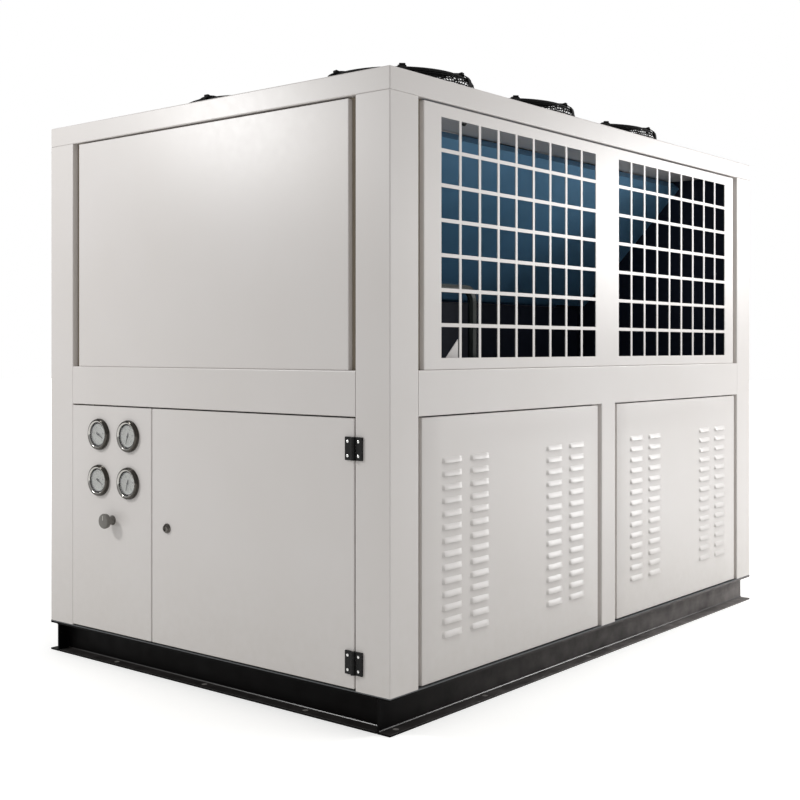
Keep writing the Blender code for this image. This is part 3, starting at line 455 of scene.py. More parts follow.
def turned(profile, steps):
    """A mesh spun about local Z from a half section of radius and height."""
    bm = bmesh.new()
    verts = [bm.verts.new((radius, 0, height)) for radius, height in profile]
    edges = [bm.edges.new(pair) for pair in zip(verts, verts[1:])]
    bmesh.ops.spin(bm, geom=verts + edges, cent=(0, 0, 0), axis=(0, 0, 1), angle=math.tau, steps=steps,
                   use_merge=True)
    bmesh.ops.remove_doubles(bm, verts=bm.verts, dist=0.01 * MM)
    bmesh.ops.recalc_face_normals(bm, faces=bm.faces)
    return as_mesh("turned", bm)


def boxed(low, high, round_edge=0.0, segments=2):
    """A mesh of a box between two corners, with its edges rounded."""
    bm = bmesh.new()
    bmesh.ops.create_cube(bm, size=1.0)
    bmesh.ops.scale(bm, vec=Vector(high) - Vector(low), verts=bm.verts)
    bmesh.ops.translate(bm, vec=(Vector(high) + Vector(low)) / 2, verts=bm.verts)
    if round_edge:
        bmesh.ops.bevel(bm, geom=bm.edges, offset=round_edge, segments=segments, profile=0.5,
                        affect="EDGES", material=-1)
    return as_mesh("boxed", bm)


def curve_mesh(curve):
    """The mesh of a curve or a text, taken through an object that is then removed."""
    holder = bpy.data.objects.new(curve.name, curve)
    bpy.context.scene.collection.objects.link(holder)
    graph = bpy.context.evaluated_depsgraph_get()
    mesh = bpy.data.meshes.new_from_object(holder.evaluated_get(graph))
    bpy.data.objects.remove(holder)
    return mesh


print("helpers ready")

# %% [markdown]
# ## Sheet metal with rolled edges
#
# CAD folds have knife edges, but a press brake leaves a radius of a few millimetres, and that
# radius is what catches the light along every corner. Each folded piece is copied from CAD, its
# triangles are joined back to flat faces, its folds get a wide bevel and its cut edges a narrow
# one. A Bevel modifier could not tell a fold from a cut edge, so the faces beside each edge decide.

# %% Rolled edges
FOLD_RADIUS = 4 * MM
CUT_RADIUS = 0.8 * MM
SHEET_EDGE = 3.6 * MM
SHARP = math.radians(40)


def beside(edge):
    """The mean width of the narrower of the two faces beside an edge."""
    return min(2 * face.calc_area() / face.calc_perimeter() for face in edge.link_faces)


def roll(bm, wide, radius, segments):
    """Bevel the outward corners between wide faces, or those beside a narrow one."""
    corners = [edge for edge in bm.edges if len(edge.link_faces) == 2 and edge.is_convex
               and edge.calc_face_angle() > SHARP]
    chosen = [edge for edge in corners if (beside(edge) > SHEET_EDGE) == wide]
    bmesh.ops.bevel(bm, geom=chosen, offset=radius, segments=segments, profile=0.5, affect="EDGES",
                    clamp_overlap=True, material=-1)


def fill_corners(bm, radius):
    """Round the inner corners of a rolled section."""
    inner = [edge for edge in bm.edges if len(edge.link_faces) == 2 and not edge.is_convex
             and edge.calc_face_angle() > SHARP]
    bmesh.ops.bevel(bm, geom=inner, offset=radius, segments=4, profile=0.5, affect="EDGES",
                    clamp_overlap=True, material=-1)
    bm.normal_update()


def rolled_copy(node, finishes, fold=FOLD_RADIUS, cut=CUT_RADIUS, body="cabinet",
                after=None, fillet=0.0):
    """A copy of a CAD node with rolled folds and eased cut edges, which stands for it."""
    bm = bmesh.new()
    bm.from_mesh(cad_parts[node].data)
    bmesh.ops.remove_doubles(bm, verts=bm.verts, dist=0.01 * MM)
    bmesh.ops.dissolve_limit(bm, angle_limit=math.radians(1), verts=bm.verts, edges=bm.edges)
    if fillet:
        fill_corners(bm, fillet)
    roll(bm, True, fold, 3)
    roll(bm, False, cut, 2)
    for face in bm.faces:
        face.material_index = 0
        face.smooth = False
    if after:
        after(bm)
    return add_piece(node + "_skin", bm, finishes, body, (node,))


SHEETS = ["end_rail_front", "end_rail_rear", "mid_frame_right", "mid_frame_left", "roof_frame",
          "upper_panel_front", "upper_panel_rear", "grille_panel_right", "grille_panel_left",
          "gauge_panel", "lower_panel_rear"]
for node in SHEETS:
    made = rolled_copy(node, [PAINTED])
    print(made.name, len(made.data.polygons), "faces")
rolled_copy("door", [PAINTED], body="door_leaf")

# %% [markdown]
# ## Corner posts and their painted ledge shade
#
# The posts carry a stepped ledge behind each groove, which the panels press against. The ledge faces of the
# posts take a darker brown grey, painted shade that darkens the grooves.

# %% Corner posts
LEDGE_SET_BACK = 20 * MM


def tape_ledges(bm):
    """Give the set back outward faces of a post the darker ledge colour, painted shade of the grooves."""
    for face in bm.faces:
        at, way = face.calc_center_median(), face.normal
        set_back = abs(at.x) < abs(END_X) - LEDGE_SET_BACK and abs(at.y) < abs(SIDE_Y) - LEDGE_SET_BACK
        to_end = abs(way.x) > 0.9 and way.x * at.x > 0
        to_side = abs(way.y) > 0.9 and way.y * at.y > 0
        if set_back and (to_end or to_side):
            face.material_index = 1


# The ledge faces take the darker colour, painted shade of the grooves.
for number in range(1, 5):
    rolled_copy(f"corner_post_{number}", [PAINTED, LEDGE_PAINTED_SHADE], after=tape_ledges)
print("corner posts dressed")

# %% [markdown]
# ## The channel base
#
# Rolled channels have rounded toes and a fillet between web and flange. The enamel in the lower fillet is
# glossier, and its lighter colour is a painted highlight that draws a thin light line along the base. The
# same copy and bevel gives them those edges, and the leaning faces of the lower fillet take the glossy,
# lighter enamel.

# %% Channel base
BEAMS = ("base_beam_right", "base_beam_left", "base_beam_front", "base_beam_rear", "base_cross_member")
CHANNEL_FILLET = 7 * MM
# Glossy enamel for the fillet, lighter than the base: the lighter colour is a painted highlight.
ENAMEL_PAINTED_HIGHLIGHT = speckled("glossy black enamel with painted highlight", "#23211f", "#2e2b29", 25 * MM, 0.3, shine=0.7)


def gather_paint(bm):
    """Give the leaning faces low on the section that look up the glossy enamel, whose lighter colour is a
    painted highlight.
    """
    for face in bm.faces:
        if 0.2 < face.normal.z < 0.97 and face.calc_center_median().z < FLOOR_Z / 2:
            face.material_index = 1


for node in BEAMS:
    rolled_copy(node, [ENAMELLED, ENAMEL_PAINTED_HIGHLIGHT], fold=2 * MM, cut=2 * MM,
                after=gather_paint, fillet=CHANNEL_FILLET)
print("base dressed")

# %% [markdown]
# ## Louvred panels
#
# A louvre is a slit in the sheet with the metal above it pressed out to a hood, so that air goes
# in and rain does not. The panel is cut by planes into a grid, the slots are taken out, and one
# hood, a small grid of faces pushed out on a quarter round with its ends drawn in, is stamped
# over every slot. Pressing real slits matters here, because the hoods show dark mouths from below.

# %% One louvre hood
LOUVRE_WIDTH = 114 * MM
LOUVRE_HEIGHT = 19 * MM
LOUVRE_STAND = 9 * MM
LOUVRE_ROWS = 14
LOUVRE_PITCH = 46 * MM
LOUVRE_PAIR_GAP = 50 * MM
LOUVRE_PAIR_SPACING = 0.66
HOOD_CURVE = 1.2
HOOD_ENDS = 7
SKIN = 1.5 * MM


def louvre_hood():
    """One pressed hood, local Z out of the panel, with its mouth at the lower edge."""
    bm = bmesh.new()
    bmesh.ops.create_grid(bm, x_segments=14, y_segments=5, size=0.5)
    for vert in bm.verts:
        down, across = 0.5 - vert.co.y, abs(vert.co.x) * 2
        drawn_in = (1 - across ** HOOD_ENDS) ** 0.5 if across < 1 else 0.0
        bulge = math.sin(down * HOOD_CURVE) / math.sin(HOOD_CURVE) * drawn_in
        vert.co = (vert.co.x * LOUVRE_WIDTH, vert.co.y * LOUVRE_HEIGHT, bulge * LOUVRE_STAND)
    bm.normal_update()
    bmesh.ops.solidify(bm, geom=bm.faces, thickness=SKIN / 2)
    bmesh.ops.recalc_face_normals(bm, faces=bm.faces)
    return as_mesh("louvre_hood", bm)


HOOD = louvre_hood()
print("one hood has", len(HOOD.polygons), "faces")

# %% The louvred panels
def louvre_centres(height):
    """Columns and rows of the louvre centres of one panel, from its lower middle."""
    half_pair = (LOUVRE_WIDTH + LOUVRE_PAIR_GAP) / 2
    columns = [pair * LOUVRE_PAIR_SPACING / 2 + side * half_pair for pair in (-1, 1) for side in (-1, 1)]
    first = height / 2 - LOUVRE_PITCH * (LOUVRE_ROWS - 1) / 2
    return sorted(columns), [first + LOUVRE_PITCH * row for row in range(LOUVRE_ROWS)]


def slotted_sheet(bm, width, height, depth):
    """The panel's folded sheet with a slot for every louvre."""
    columns, rows = louvre_centres(height)
    bmesh.ops.create_cube(bm, size=1.0)
    bmesh.ops.scale(bm, vec=(width, height, depth), verts=bm.verts)
    bmesh.ops.translate(bm, vec=(0, height / 2, -depth / 2), verts=bm.verts)
    bm.normal_update()
    back = [face for face in bm.faces if face.normal.z < -0.5]
    bmesh.ops.delete(bm, geom=back, context="FACES_ONLY")
    front = [edge for edge in bm.edges if all(vert.co.z > -MM for vert in edge.verts)]
    bmesh.ops.bevel(bm, geom=front, offset=2 * MM, segments=3, profile=0.5, affect="EDGES", material=-1)
    cuts = [((at + side * LOUVRE_WIDTH, 0, 0), (1, 0, 0)) for at in columns for side in (-0.5, 0.5)]
    cuts += [((0, at + side * LOUVRE_HEIGHT, 0), (0, 1, 0)) for at in rows for side in (-0.5, 0.5)]
    for point, way in cuts:
        whole = bm.verts[:] + bm.edges[:] + bm.faces[:]
        bmesh.ops.bisect_plane(bm, geom=whole, plane_co=point, plane_no=way)
    slots = [face for face in bm.faces if face.normal.z > 0.9
             and min(abs(face.calc_center_median().x - at) for at in columns) < LOUVRE_WIDTH / 4
             and min(abs(face.calc_center_median().y - at) for at in rows) < LOUVRE_HEIGHT / 4]
    bmesh.ops.delete(bm, geom=slots, context="FACES")


def add_louvre_panel(number, matrix):
    """One louvred panel with its hoods, and the foam lining behind it."""
    node = f"louvre_panel_{number}"
    low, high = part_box(node)
    width, height = high.x - low.x, high.z - low.z
    depth = high.y - low.y - LOUVRE_STAND
    bm = bmesh.new()
    slotted_sheet(bm, width, height, depth)
    columns, rows = louvre_centres(height)
    for column in columns:
        for row in rows:
            stamp(bm, HOOD, Matrix.Translation((column, row, 0)))
    for face in bm.faces:
        face.smooth = True
    bmesh.ops.transform(bm, matrix=matrix, verts=bm.verts)
    add_piece(f"louvre_panel_skin_{number}", bm, [PAINTED], instead_of=(node,), smooth=25)
    bm = bmesh.new()
    lining = boxed((SKIN - width / 2, SKIN, -depth), (width / 2 - SKIN, height - SKIN, -3 * MM))
    stamp(bm, lining, matrix)
    add_piece(f"louvre_lining_{number}", bm, [FOAM])


for number in range(1, 5):
    low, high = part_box(f"louvre_panel_{number}")
    right = low.y < 0
    face_y = low.y + LOUVRE_STAND if right else high.y - LOUVRE_STAND
    spot = Matrix.Translation(((low.x + high.x) / 2, face_y, low.z))
    add_louvre_panel(number, spot @ (RIGHT_FRAME if right else HALF_TURN @ RIGHT_FRAME))
print("louvred panels dressed")

# %% [markdown]
# ## Fan nozzles
#
# Each fan sits in a short nozzle pressed into the deck, with a rolled lip that guides the air. CAD
# gives it as a coarse ring, so a smooth one is turned from its half section and laid over it.

# %% Fan nozzles
FANS = range(1, 7)
NOZZLE_THROAT = 281.5 * MM
NOZZLE_LIP = 22 * MM
NOZZLE_DEPTH = 60 * MM
ROUND_STEPS = 64


def nozzle_section():
    """The half section of a rolled nozzle lip, from the deck over the roll and down the throat."""
    radius = NOZZLE_LIP / 2
    roll_over = [(NOZZLE_THROAT + radius - radius * math.cos(angle), 0.6 * MM + 5 * MM * math.sin(angle))
                 for angle in [math.pi * step / 8 for step in range(9)]]
    return roll_over[::-1] + [(NOZZLE_THROAT, -NOZZLE_DEPTH)]


def fan_place(number):
    """The middle of a fan at deck level."""
    spot = centre(f"fan_guard_{number}")
    return Matrix.Translation((spot.x, spot.y, ROOF_Z))


for number in FANS:
    bm = bmesh.new()
    stamp(bm, turned(nozzle_section(), ROUND_STEPS), fan_place(number))
    add_piece(f"fan_nozzle_{number}", bm, [PAINTED], smooth=40)
print("nozzles added", len(FANS))

# %% [markdown]
# ## Wire fan guards
#
# A guard is a basket of rings welded on radial wires, held by flat arms that also carry the
# motor. All rings of a guard share one spin: a small circle is drawn for each wire and one spin of
# all of them makes every ring at once. The radial wires are thin curves made into meshes. The arms
# lie close over the rings, and each has an upright ear near the shoulder.

# %% Guard sizes
GUARD_SIDE = [(315 - 0.1 * height, height) for height in range(10, 94, 10)]
GUARD_SLOPE = [(303, 101), (298, 109), (290, 115), (280, 120), (270, 124), (260, 126.5)]
GUARD_TOP = [(radius, 127) for radius in range(250, 85, -10)]
GUARD_WIRE_RADIUS = 2.2 * MM
GUARD_RADIALS = 24
MOTOR_RADIUS = 78 * MM
MOTOR_TOP = 131 * MM
MOTOR_LOW = 31 * MM
EAR_LOW = 118 * MM
EAR_TOP = 136 * MM
EAR_REACH = (252 * MM, 284 * MM)
EAR_HALF = 12 * MM
EAR_SLOPE = 6 * MM
ARM_COUNT = 6
ARM_WIDTH = 30 * MM
ARM_THICK = 4 * MM
FRONT_ARM = math.radians(224)
REAR_ARM = math.radians(184)


def wire(points, radius):
    """A round wire through points, as a mesh with closed ends."""
    curve = bpy.data.curves.new("wire", "CURVE")
    curve.dimensions = "3D"
    curve.bevel_depth = radius
    curve.bevel_resolution = 1
    curve.use_fill_caps = True
    spline = curve.splines.new("POLY")
    spline.points.add(len(points) - 1)
    for point, spot in zip(spline.points, points):
        point.co = (*spot, 1)
    return curve_mesh(curve)


def guard_rings(bm):
    """Every ring of a guard, from one spin of all the wire sections."""
    sections = bmesh.new()
    for radius, height in GUARD_SIDE + GUARD_SLOPE + GUARD_TOP:
        turn = Matrix.Translation((radius * MM, 0, height * MM)) @ Matrix.Rotation(math.pi / 2, 4, "X")
        bmesh.ops.create_circle(sections, cap_ends=False, segments=6, radius=GUARD_WIRE_RADIUS, matrix=turn)
    bmesh.ops.spin(sections, geom=sections.verts[:] + sections.edges[:], cent=(0, 0, 0), axis=(0, 0, 1),
                   angle=math.tau, steps=56, use_merge=True)
    bmesh.ops.recalc_face_normals(sections, faces=sections.faces)
    stamp(bm, as_mesh("rings", sections))


print("rings in a guard", len(GUARD_SIDE + GUARD_SLOPE + GUARD_TOP))

# %% The guards
def guard_arm():
    """One flat arm from its foot up the basket and over to the motor, with its upright ear."""
    path = [(344, 2.5), (321, 2.5), (318, 8), (309, 96), (306, 105), (299, 114), (290, 120), (280, 124.5),
            (268, 128.5), (252, 130.5), (70, 130.5)]
    bm = bmesh.new()
    half = ARM_WIDTH / 2
    verts = [bm.verts.new((radius * MM, -half, height * MM)) for radius, height in path]
    edges = [bm.edges.new(pair) for pair in zip(verts, verts[1:])]
    drawn = bmesh.ops.extrude_edge_only(bm, edges=edges)["geom"]
    moved = [item for item in drawn if isinstance(item, bmesh.types.BMVert)]
    bmesh.ops.translate(bm, vec=(0, ARM_WIDTH, 0), verts=moved)
    bmesh.ops.recalc_face_normals(bm, faces=bm.faces)
    bmesh.ops.solidify(bm, geom=bm.faces, thickness=ARM_THICK)
    bmesh.ops.recalc_face_normals(bm, faces=bm.faces)
    ear = boxed((EAR_REACH[0], -EAR_HALF, EAR_LOW), (EAR_REACH[1], EAR_HALF, EAR_TOP), 2 * MM)
    for vert in ear.vertices:
        if vert.co.z > (EAR_LOW + EAR_TOP) / 2 and vert.co.x < sum(EAR_REACH) / 2:
            vert.co.z -= EAR_SLOPE
    stamp(bm, ear)
    return as_mesh("guard_arm", bm)


def motor_section():
    """The half section of the motor's can, with its domed lid and a cooling groove."""
    return [(0, MOTOR_TOP), (40 * MM, MOTOR_TOP), (66 * MM, MOTOR_TOP - 3 * MM),
            (MOTOR_RADIUS - 2 * MM, MOTOR_TOP - 10 * MM), (MOTOR_RADIUS, MOTOR_TOP - 20 * MM),
            (MOTOR_RADIUS, MOTOR_TOP - 34 * MM), (MOTOR_RADIUS - 4 * MM, MOTOR_TOP - 36 * MM),
            (MOTOR_RADIUS - 4 * MM, MOTOR_TOP - 42 * MM), (MOTOR_RADIUS, MOTOR_TOP - 44 * MM),
            (MOTOR_RADIUS, MOTOR_LOW), (0, MOTOR_LOW)]


def guard():
    """A whole guard about its own axis, as one mesh."""
    bm = bmesh.new()
    guard_rings(bm)
    rib = [(radius * MM, 0, height * MM - 2 * GUARD_WIRE_RADIUS) for radius, height in
           GUARD_SIDE + GUARD_SLOPE + [(76, 127)]]
    stamp_round(bm, wire(rib, GUARD_WIRE_RADIUS), GUARD_RADIALS)
    stamp_round(bm, guard_arm(), ARM_COUNT)
    stamp(bm, turned(motor_section(), 32))
    return as_mesh("guard", bm)


GUARD = guard()
for number in FANS:
    bm = bmesh.new()
    turn = FRONT_ARM if centre(f"fan_guard_{number}").y < 0 else REAR_ARM
    stamp(bm, GUARD, fan_place(number) @ Matrix.Rotation(turn, 4, "Z"))
    add_piece(f"fan_guard_wire_{number}", bm, [GUARD_WIRE],
              instead_of=(f"fan_guard_{number}",), smooth=40)
print("one guard has", len(GUARD.polygons), "faces")

# %% [markdown]
# ## Impellers
#
# Axial condenser fans have five sickle blades on a rotor can. A blade is a grid whose rows are
# bent round the axis: it sweeps forwards towards the tip and flattens its pitch, as a propeller
# does. Solidify gives it its sheet thickness.

# %% Impellers
BLADE_COUNT = 5
BLADE_TIP = 275 * MM
BLADE_ROOT = 76 * MM
BLADE_CHORD = 150 * MM
HUB_RADIUS = 82 * MM
HUB_TOP = -12 * MM
HUB_LOW = -82 * MM


def blade():
    """One swept and twisted blade about the fan's axis."""
    bm = bmesh.new()
    bmesh.ops.create_grid(bm, x_segments=12, y_segments=8, size=0.5)
    for vert in bm.verts:
        share, chord = vert.co.x + 0.5, vert.co.y * BLADE_CHORD
        radius = BLADE_ROOT + (BLADE_TIP - BLADE_ROOT) * share
        pitch = math.radians(33 - 14 * share)
        camber = 5 * MM * math.cos(vert.co.y * math.pi)
        angle = math.radians(16) * share ** 1.5 + chord * math.cos(pitch) / radius * (0.55 + 0.45 * share)
        height = (HUB_TOP + HUB_LOW) / 2 + chord * math.sin(pitch) * (0.55 + 0.25 * share) + camber
        vert.co = (radius * math.cos(angle), radius * math.sin(angle), height)
    bm.normal_update()
    bmesh.ops.solidify(bm, geom=bm.faces, thickness=2 * MM)
    bmesh.ops.recalc_face_normals(bm, faces=bm.faces)
    return as_mesh("blade", bm)


def impeller():
    """The rotor can with its lip and shaft, and the blades round it."""
    section = [(0, 36 * MM), (11 * MM, 36 * MM), (11 * MM, HUB_TOP), (HUB_RADIUS - 12 * MM, HUB_TOP),
               (HUB_RADIUS - 3 * MM, HUB_TOP - 3 * MM), (HUB_RADIUS, HUB_TOP - 12 * MM),
               (HUB_RADIUS, HUB_LOW + 6 * MM), (HUB_RADIUS - 6 * MM, HUB_LOW), (0, HUB_LOW)]
    bm = bmesh.new()
    stamp(bm, turned(section, 40))
    stamp_round(bm, blade(), BLADE_COUNT)
    return as_mesh("impeller", bm)


IMPELLER = impeller()
for number in FANS:
    bm = bmesh.new()
    stamp(bm, IMPELLER, fan_place(number))
    add_piece(f"fan_rotor_{number}", bm, [FAN_BLACK], body=f"rotor_{number}",
              instead_of=(f"fan_impeller_{number}",), smooth=40)
print("one impeller has", len(IMPELLER.polygons), "faces")

# %% [markdown]
# ## Pressure gauges
#
# The gauges are glycerine filled dials in dark cases, whose dark metal colour is a painted reflection: a
# rolled bezel, a bright ring inside it with a dark wall of painted shadow at its foot, a white dial with a
# plain scale, a needle, a glass, and a filler plug on top. Case and bezel are one turned section. The scale
# marks are small bars stamped round an arc, and the numbers are plain font shapes made into meshes.

# %% Gauge case
GAUGES = range(1, 5)
GAUGE_RADIUS = 63 * MM
GAUGE_STAND = 16 * MM
DIAL_RADIUS = 47 * MM
DIAL_LEVEL = 5 * MM


def bezel_section():
    """The half section of case and rolled bezel, from the dial's edge round to the back."""
    roll_centre, roll_radius = GAUGE_RADIUS - 8 * MM, 7 * MM
    roll_arc = [(roll_centre - roll_radius * math.cos(angle), GAUGE_STAND - roll_radius
                 + roll_radius * math.sin(angle)) for angle in [math.pi * step / 12 for step in range(13)]]
    return [(DIAL_RADIUS, DIAL_LEVEL)] + roll_arc + [(GAUGE_RADIUS - 1.5 * MM, 5 * MM),
                                                     (GAUGE_RADIUS, 4 * MM), (GAUGE_RADIUS, 0)]


def gauge_case():
    """The plated case with its filler plug on top."""
    bm = bmesh.new()
    stamp(bm, turned(bezel_section(), ROUND_STEPS))
    plug = turned([(0, 2 * MM), (4 * MM, 2 * MM), (5.5 * MM, MM), (5.5 * MM, -6 * MM), (0, -6 * MM)], 20)
    up = Matrix.Translation((0, GAUGE_RADIUS - 2 * MM, 8 * MM)) @ Matrix.Rotation(-math.pi / 2, 4, "X")
    stamp(bm, plug, up, material=1)
    return bm


print("gauge dial of", 2 * DIAL_RADIUS / MM, "mm")

# %% Gauge dials
SCALE_START = math.radians(225)
SCALE_SWEEP = math.radians(270)
SCALE_STEPS = 25
SCALE_NUMBERS = 5
NEEDLE_TURNS = {1: -28, 2: -108, 3: -28, 4: -108}


def written(text, size):
    """A flat font shape as a mesh, centred on its middle."""
    curve = bpy.data.curves.new("number", "FONT")
    curve.body = text
    curve.size = size
    curve.align_x, curve.align_y = "CENTER", "CENTER"
    return curve_mesh(curve)


def scale_marks():
    """The printed arc of marks and numbers of a dial, just above its face."""
    bm = bmesh.new()
    level = DIAL_LEVEL + 0.3 * MM
    for step in range(SCALE_STEPS + 1):
        long = step % (SCALE_STEPS // SCALE_NUMBERS) == 0
        length, half = (7 * MM, 0.7 * MM) if long else (4 * MM, 0.35 * MM)
        turn = Matrix.Rotation(SCALE_START - SCALE_SWEEP * step / SCALE_STEPS, 4, "Z")
        outer = DIAL_RADIUS - 6.5 * MM
        stamp(bm, boxed((outer - length, -half, level - 0.2 * MM), (outer, half, level)), turn)
        if long:
            spot = turn @ Vector((outer - 12.5 * MM, 0, level))
            stamp(bm, written(str(step), 8 * MM), Matrix.Translation(spot))
    return bm


def needle(turn):
    """A tapered needle with its boss, turned to a reading."""
    bm = bmesh.new()
    stamp(bm, boxed((-14 * MM, -3.6 * MM, DIAL_LEVEL + 1.5 * MM), (32 * MM, 3.6 * MM, DIAL_LEVEL + 2.3 * MM)))
    tip = [vert for vert in bm.verts if vert.co.x > 0]
    bmesh.ops.scale(bm, vec=(1, 0.45, 1), verts=tip)
    bmesh.ops.transform(bm, matrix=Matrix.Rotation(math.radians(turn), 4, "Z"), verts=bm.verts)
    stamp(bm, turned([(0, DIAL_LEVEL + 4 * MM), (4 * MM, DIAL_LEVEL + 3.4 * MM), (4.6 * MM, DIAL_LEVEL)], 24))
    return bm


def from_dial(points):
    """A section in millimetres out from the dial's edge and up from its face."""
    return [(DIAL_RADIUS + out * MM, DIAL_LEVEL + up * MM) for out, up in points]


def nested(*sections):
    """A bmesh with one turned mesh for each section, each in a material of its own."""
    bm = bmesh.new()
    for material, section in enumerate(sections):
        stamp(bm, turned(section, ROUND_STEPS), material=material)
    return bm


def add_gauge(number):
    """One gauge: case, dial, bright ring with a dark wall of painted shadow in it, scale, needle and glass.
    """
    spot = on_front(f"gauge_{number}", 0.3 * MM)
    dial = [(0, DIAL_LEVEL)] + from_dial([(1, 0), (1, -2)]) + [(0, DIAL_LEVEL - 2 * MM)]
    # The dark wall between the bright ring and the dial is painted shadow.
    wall = from_dial([(-5, 0.2), (-2, 5), (1.3, 6.4)])
    ring = from_dial([(1.2, 6.3), (2, 8.3), (3.2, 9.6), (5, 10.7), (7, 11.2)])
    pane_edge = from_dial([(-2.6, 5), (-2.6, 3.5)])
    pane = [(0, DIAL_LEVEL + 5 * MM)] + pane_edge + [(0, DIAL_LEVEL + 3.5 * MM)]
    layers = [("case", gauge_case(), [BEZEL_PAINTED_REFLECTION, CAST_BLACK]), ("dial", nested(dial), [DIAL_FACE]),
              ("ring", nested(ring, wall), [STAINLESS, CAST_BLACK]), ("scale", scale_marks(), [DIAL_INK]),
              ("needle", needle(NEEDLE_TURNS[number]), [DIAL_INK]), ("glass", nested(pane), [GLASS])]
    for part, bm, finishes in layers:
        bmesh.ops.transform(bm, matrix=spot, verts=bm.verts)
        instead = (f"gauge_{number}",) if part == "case" else ()
        add_piece(f"gauge_{part}_{number}", bm, finishes, instead_of=instead, smooth=40)


for number in GAUGES:
    add_gauge(number)
print("gauges added", len(GAUGES))

# %% [markdown]
# ## Switch knob
#
# The knob is a moulded plastic head that widens from a slim neck to a flat face. It is turned from
# its section, and a thin white line lets its position be read.

# %% Switch knob
KNOB_RADIUS = 30 * MM
KNOB_STAND = 50 * MM
POINTER = speckled("white pointer paint", "#dedcd6", "#cfccc4", 4 * MM, 0.5, depth=0.05 * MM)


def switch_knob():
    """The knob about its own axis, with its pointer line across the face."""
    bm = bmesh.new()
    section = [(0, KNOB_STAND - MM), (KNOB_RADIUS - 7 * MM, KNOB_STAND - 0.6 * MM),
               (KNOB_RADIUS - 3 * MM, KNOB_STAND - 2 * MM), (KNOB_RADIUS - 0.5 * MM, KNOB_STAND - 6 * MM),
               (KNOB_RADIUS, KNOB_STAND - 9 * MM), (KNOB_RADIUS - 2 * MM, 30 * MM), (20 * MM, 23 * MM),
               (16.5 * MM, 18 * MM), (16.5 * MM, 5 * MM), (0, 5 * MM)]
    stamp(bm, turned(section, 48))
    stamp(bm, boxed((-1.2 * MM, 4 * MM, KNOB_STAND - 1.5 * MM), (1.2 * MM, 22 * MM, KNOB_STAND - 0.2 * MM)),
          material=1)
    return bm


bm = switch_knob()
bmesh.ops.transform(bm, matrix=on_front("switch_knob", 0.3 * MM), verts=bm.verts)
add_piece("switch_knob_head", bm, [DARK_PLASTIC, POINTER], body="knob",
          instead_of=("switch_knob",), smooth=35)
print("knob added")

# %% [markdown]
# ## Cam lock
#
# A cam lock shows as a chrome collar, whose dark colour is a painted reflection, with a recessed core and a
# slot for its key drawn as a thin dark box of painted shade.

# %% Cam lock
def cam_lock():
    """The lock about its own axis: collar, core and key slot, the slot a dark box of painted shade."""
    bm = bmesh.new()
    section = mm([(0, 8), (8, 8), (8.6, 10.5), (10, 12), (13, 11.5), (15.2, 9), (15.5, 5), (18.5, 3.6),
                  (19, 2), (19, 0)])
    stamp(bm, turned(section, 48))
    # The key slot is a thin dark box over the core: painted shade of the slot's opening.
    stamp(bm, boxed((-1.2 * MM, -5 * MM, 7.5 * MM), (1.2 * MM, 5 * MM, 8.2 * MM)), material=1)
    return bm


bm = cam_lock()
bmesh.ops.transform(bm, matrix=on_front("door_lock", 0.3 * MM), verts=bm.verts)
add_piece("door_lock_collar", bm, [LOCK_PAINTED_REFLECTION, CAST_BLACK], body="door_leaf",
          instead_of=("door_lock",), smooth=35)
print("lock added")

# %% [markdown]
# ## Hinges
#
# The door hangs on two black zinc hinges. Their CAD leaves keep their shape with softened edges,
# and each leaf gets two countersunk screws with a cross recess, which is the bright dot seen in
# the picture.

# %% Hinge leaves and screws
LEAF_OUT = 8.2 * MM


def screw_head():
    """A countersunk screw head with a cross recess drawn as a dark cross of painted shade, about its own
    axis.
    """
    bm = bmesh.new()
    stamp(bm, turned(mm([(0, 0.9), (3, 0.7), (5, 0), (3, -2.5), (0, -2.5)]), 20))
    # The cross recess is a thin dark cross laid over the head: painted shade of the recess.
    for turn in (0, math.pi / 2):
        stamp(bm, boxed((-2.6 * MM, -0.5 * MM, 0), (2.6 * MM, 0.5 * MM, 1.0 * MM)),
              Matrix.Rotation(turn, 4, "Z"), material=1)
    return as_mesh("screw_head", bm)


SCREW = screw_head()
for body, leaf in (("cabinet", "hinge_leaf_post"), ("door_leaf", "hinge_leaf_door")):
    for number in (1, 2):
        node = f"{leaf}_{number}"
        rolled_copy(node, [CAST_BLACK], fold=1.2 * MM, cut=0.4 * MM, body=body)
        low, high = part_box(node)
        across = low.y + 16 * MM if body == "cabinet" else high.y - 13 * MM
        bm = bmesh.new()
        for share in (0.19, 0.81):
            spot = (END_X - LEAF_OUT, across, low.z + (high.z - low.z) * share)
            stamp(bm, SCREW, Matrix.Translation(spot) @ FRONT_FRAME)
            for face in bm.faces:
                face.smooth = False
        add_piece(f"{leaf}_screws_{number}", bm, [ZINC, CAST_BLACK], body=body)
print("hinges dressed")

# %% [markdown]
# ## Small fittings
#
# The foot flange of the base is punched for anchor bolts. Each hole is drawn as a flat dark disc, painted
# shade of its mouth, in a light ring that is a painted glint on its rim. Two rubber grommets close cable
# holes in the lip over the coils, and a pale folded bracket stands in the corner of the coil bay.

# %% Anchor holes, grommets and bracket
ANCHOR_RADIUS = 9 * MM
ANCHOR_SPOTS = [(-1.35, -0.897), (-0.844, -0.897), (-0.115, -0.897), (0.61, -0.897), (1.34, -0.897)]
END_ANCHORS = [0.52, 0.0, -0.52]
# The light rim colour is a painted glint, and the rubber black also paints the shade in the hole mouths.
HOLE_RIM_PAINTED_GLINT = speckled("hole rim, painted glint", "#8d8a86", "#7c7975", 4 * MM, 0.5)
RUBBER_AND_HOLE_SHADE = speckled("black rubber and painted hole shade", "#0b0b0b", "#151515", 4 * MM, 0.6)


